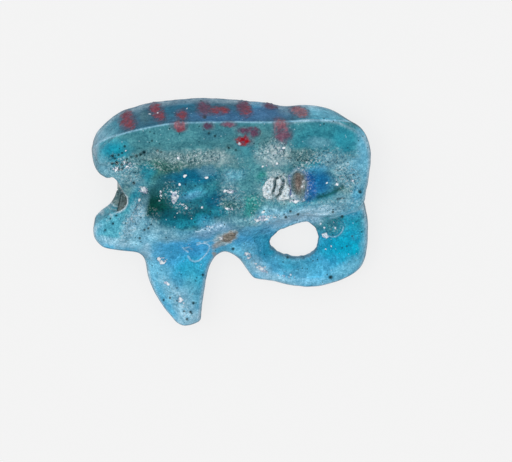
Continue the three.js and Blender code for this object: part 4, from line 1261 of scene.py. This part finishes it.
def add_node(tree, kind, inputs, **settings):
    node = tree.nodes.new(kind)
    for name, value in settings.items():
        setattr(node, name, value)
    for key, value in inputs.items():
        if isinstance(value, bpy.types.NodeSocket):
            tree.links.new(value, node.inputs[key])
        else:
            node.inputs[key].default_value = value
    return node.outputs


def calculate(tree, operation, first, second=0.0, third=0.0):
    return add_node(tree, "ShaderNodeMath", {0: first, 1: second, 2: third}, operation=operation)[0]


def times(tree, first, *others):
    for other in others:
        first = calculate(tree, "MULTIPLY", first, other)
    return first


def remap(tree, value, low, high, to_low=0.0, to_high=1.0):
    inputs = {"Value": value, "From Min": low, "From Max": high, "To Min": to_low, "To Max": to_high}
    return add_node(tree, "ShaderNodeMapRange", inputs, interpolation_type="SMOOTHSTEP")[0]


def mix(tree, factor, first, second, blend_type="MIX"):
    inputs = {0: factor, 6: first, 7: second}
    return add_node(tree, "ShaderNodeMix", inputs, data_type="RGBA", blend_type=blend_type)[2]


def shade(tree, colour, texture, low, high, dark, light):
    """Multiplies a colour by a tint between two, chosen by a texture over its range."""
    tint = mix(tree, remap(tree, texture, low, high), (*dark, 1), (*light, 1))
    return mix(tree, 1.0, colour, tint, "MULTIPLY")


def millimetre_places(tree, shift=0.0):
    coordinates = add_node(tree, "ShaderNodeTexCoord", {})["Object"]
    scaled = add_node(tree, "ShaderNodeVectorMath", {0: coordinates, "Scale": 1 / MM}, operation="SCALE")[0]
    return add_node(tree, "ShaderNodeVectorMath", {0: scaled, 1: (shift, shift, shift)}, operation="ADD")[0]


def cloud(tree, places, scale, detail, distortion):
    inputs = {"Vector": places, "Scale": scale, "Detail": detail, "Distortion": distortion}
    return add_node(tree, "ShaderNodeTexNoise", inputs)[0]


def cell_texture(tree, places, scale):
    return add_node(tree, "ShaderNodeTexVoronoi", {"Vector": places, "Scale": scale})


def add_dots(tree, places, colour, scale, empty, largest, strength, dot_colour):
    """Lays round dots of random sizes over a colour, and gives 1 inside a dot and 0 outside."""
    cell = cell_texture(tree, places, scale)
    pick = add_node(tree, "ShaderNodeSeparateColor", {0: cell["Color"]})
    radius = remap(tree, pick[0], empty, 1.0, 0.0, largest)
    inside_dot = calculate(tree, "LESS_THAN", cell["Distance"], radius)
    return mix(tree, times(tree, inside_dot, strength), colour, dot_colour), inside_dot


def attribute(tree, name):
    return add_node(tree, "ShaderNodeAttribute", {}, attribute_name=name)["Color"]


def new_material(name):
    material = bpy.data.materials.new(name)
    material.use_nodes = True
    shader = material.node_tree.nodes["Principled BSDF"]
    return material, material.node_tree, shader


def attach(tree, shader, colour, roughness, height, bump_depth, bump_strength):
    tree.links.new(colour, shader.inputs["Base Color"])
    tree.links.new(roughness, shader.inputs["Roughness"])
    inputs = {"Height": height, "Distance": bump_depth * MM, "Strength": bump_strength}
    tree.links.new(add_node(tree, "ShaderNodeBump", inputs)[0], shader.inputs["Normal"])


def glaze_material():
    material, tree, shader = new_material("turquoise glaze")
    near, apart = millimetre_places(tree), millimetre_places(tree, PLACES_SHIFT)
    mottle, fine, gaps = (cloud(tree, near, *settings) for settings in NEAR_CLOUDS)
    feather, grains, curdled = (cloud(tree, apart, *settings) for settings in APART_CLOUDS)
    grain, lively, frost_and_sparkle = add_node(tree, "ShaderNodeSeparateColor", {0: attribute(tree, "marks")})
    colour = attribute(tree, "tint")
    for name, texture in (("mottle", mottle), ("feather", feather), ("fine", fine)):
        colour = shade(tree, colour, texture, *SHADES[name])
    colour = mix(tree, lively, colour, shade(tree, colour, curdled, *SHADES["curdled"]))
    dark = times(tree, remap(tree, gaps, *GAPS_FADE), grain, GAPS_DARK)
    colour = mix(tree, dark, colour, mix(tree, 1.0, colour, GRAIN_DARK, "MULTIPLY"))
    light = remap(tree, grains, *GRAIN_FADE)
    pale = mix(tree, remap(tree, mottle, *GRAIN_LIGHTS_FADE), *GRAIN_LIGHTS)
    colour = mix(tree, times(tree, light, grain, GRAIN_LIGHT), colour, pale)
    # Frost patches, with their painted sparkle, break into pale crumbs; marks above their range are painted
    # glints.
    crumbs = calculate(tree, "MULTIPLY_ADD", grains, 2.0, calculate(tree, "SUBTRACT", frost_and_sparkle, 1.0))
    broken = times(tree, remap(tree, crumbs, *CRUMB_FADE), remap(tree, frost_and_sparkle, *FROST_AND_SPARKLE_FADE))
    icy = mix(tree, remap(tree, feather, *FROST_AND_SPARKLE_COLOURS_FADE), *FROST_AND_SPARKLE_COLOURS)
    colour = mix(tree, broken, colour, icy)
    # Pores darkened with painted shade, then small pale dots of painted sparkle.
    colour, pores = add_dots(tree, near, colour, *PORES)
    colour, _ = add_dots(tree, apart, colour, *SPARKS)
    colour = mix(tree, remap(tree, frost_and_sparkle, *GLINT_MARK_FADE), colour, GLINT_COLOUR)
    roughness = calculate(tree, "MULTIPLY_ADD", fine, *GLAZE_ROUGHNESS)
    roughness = calculate(tree, "MULTIPLY_ADD", times(tree, grain, light), GRAIN_ROUGHNESS, roughness)
    height = times(tree, calculate(tree, "ADD", grains, gaps), grain)
    for texture, rise in zip((broken, fine, mottle, pores), BUMP_HEIGHTS):
        height = calculate(tree, "MULTIPLY_ADD", texture, rise, height)
    attach(tree, shader, colour, roughness, height, *GLAZE_BUMPS)
    shader.inputs["Specular IOR Level"].default_value = GLAZE_SHINE
    return material


def grainy_material(name):
    """A material of broad and fine noise and of cells, over the tint that is kept in its mesh."""
    finish = FINISHES[name]
    material, tree, shader = new_material(name)
    places = millimetre_places(tree)
    texture = {key: cloud(tree, places, *finish[key]) for key in ("broad", "fine")}
    texture["cells"] = cell_texture(tree, places, finish["cells"])["Distance"]
    colour = attribute(tree, "tint")
    for key, *settings in finish["shades"]:
        colour = shade(tree, colour, texture[key], *settings)
    for key, low, high, most, other in finish["mixes"]:
        colour = mix(tree, remap(tree, texture[key], low, high, 0.0, most), colour, other)
    key, scale, least = finish["roughness"]
    roughness = calculate(tree, "MULTIPLY_ADD", texture[key], scale, least)
    cell_height, *bumps = finish["bumps"]
    height = calculate(tree, "MULTIPLY_ADD", texture["cells"], cell_height, texture["fine"])
    attach(tree, shader, colour, roughness, height, *bumps)
    return material


def glossy_switch(tree, plain, mirrored):
    """One value for what is seen or lit directly, and another for what is mirrored in the glaze."""
    is_glossy = add_node(tree, "ShaderNodeLightPath", {})["Is Glossy Ray"]
    return calculate(tree, "MULTIPLY_ADD", is_glossy, mirrored - plain, plain)


def make_camera():
    data = bpy.data.cameras.new("camera")
    data.lens = LENS
    data.sensor_width = SENSOR
    data.clip_start = NEAREST_SEEN
    camera = bpy.data.objects.new("camera", data)
    bpy.context.collection.objects.link(camera)
    toward = Vector(TOWARD_CAMERA)
    upward = Vector((0, math.cos(TILT), -math.sin(TILT)))
    across = Vector(((PHOTO_MIDDLE[0] - MIDDLE_U) * PHOTO_SCALE, 0, 0))
    rise = (MIDDLE_V - PHOTO_MIDDLE[1]) * PHOTO_SCALE
    camera.location = (across + upward * rise + toward * (CAMERA_DISTANCE + MIDDLE_DEPTH)) * MM
    camera.rotation_euler = (-TILT, 0, 0)
    bpy.context.scene.camera = camera


def make_lights():
    world = bpy.data.worlds.new("world")
    world.use_nodes = True
    tree = world.node_tree
    background = tree.nodes["Background"]
    background.inputs["Color"].default_value = (1, 1, 1, 1)
    tree.links.new(glossy_switch(tree, *WORLD_STRENGTHS), background.inputs["Strength"])
    bpy.context.scene.world = world
    for name, (direction, width, strength) in SUNS.items():
        data = bpy.data.lights.new(name, "SUN")
        data.angle = math.radians(width)
        data.energy = strength
        lamp = bpy.data.objects.new(name, data)
        lamp.visible_glossy = name != "key"
        bpy.context.collection.objects.link(lamp)
        lamp.rotation_euler = Vector(direction).to_track_quat("Z", "Y").to_euler()


def make_floor():
    bpy.ops.mesh.primitive_plane_add(size=FLOOR_SIZE, location=(0, 0, 0))
    floor = bpy.context.object
    floor.name = "floor"
    material, tree, shader = new_material("floor")
    shader.inputs["Base Color"].default_value = (FLOOR_ALBEDO, FLOOR_ALBEDO, FLOOR_ALBEDO, 1)
    shader.inputs["Emission Color"].default_value = (1, 1, 1, 1)
    tree.links.new(glossy_switch(tree, *FLOOR_STRENGTHS), shader.inputs["Emission Strength"])
    shader.inputs["Roughness"].default_value = 1
    shader.inputs["Specular IOR Level"].default_value = 0
    floor.data.materials.append(material)


def finish_piece(thing, node, material):
    thing.data.materials.append(material)
    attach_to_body(thing, "root")
    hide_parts(node)


bpy.context.scene.view_settings.view_transform = "Standard"
make_camera()
make_lights()
make_floor()

skin = glaze_net()
glaze = make_object("glaze_skin", skin.points, skin.quads, skin.normals)
tint, marks = glaze_looks(skin.points, skin.normals)
store(glaze, "tint", tint)
store(glaze, "marks", marks)
finish_piece(glaze, "glaze", glaze_material())

body = core_net()
core = make_object("core_body", body.points, body.quads, body.normals)
store(core, "tint", core_looks(body.points))
finish_piece(core, "core", grainy_material("fired quartz body"))

red = grainy_material("red glaze")
for number, lobes in enumerate(DABS, start=1):
    seed = DAB_SEED + number * SEED_STEP
    patch = face_patch(skin, lobes_reach(lobes), DAB_FRAY, seed)
    colours = dab_looks(patch, lobes, seed + len(FRAYED_SIZES))
    dab = make_sheet(f"red_dab_{number:02d}", patch, DAB_THICKNESS, DAB_GAP, colours)
    finish_piece(dab, f"brow_spot_{number:02d}", red)

white = grainy_material("white crust")
for number, (node, corners) in enumerate(CRUSTS.items()):
    patch = face_patch(skin, polygon_reach(corners), CRUST_FRAY, CRUST_SEED + number * SEED_STEP)
    lumps = 1 - LUMP_SHARE * (1 - noise(*patch.points.T[:2], LUMP_SIZE, LUMP_SEED + number))
    glaze_tint, _ = glaze_looks(patch.points, patch.normals)
    colours = blend(glaze_tint, "white", smoothstep(*CRUST_FADE, patch.reach))
    plate = make_sheet(f"{node}_plate", patch, CRUST_THICKNESS * lumps, DAB_GAP, colours)
    finish_piece(plate, node, white)
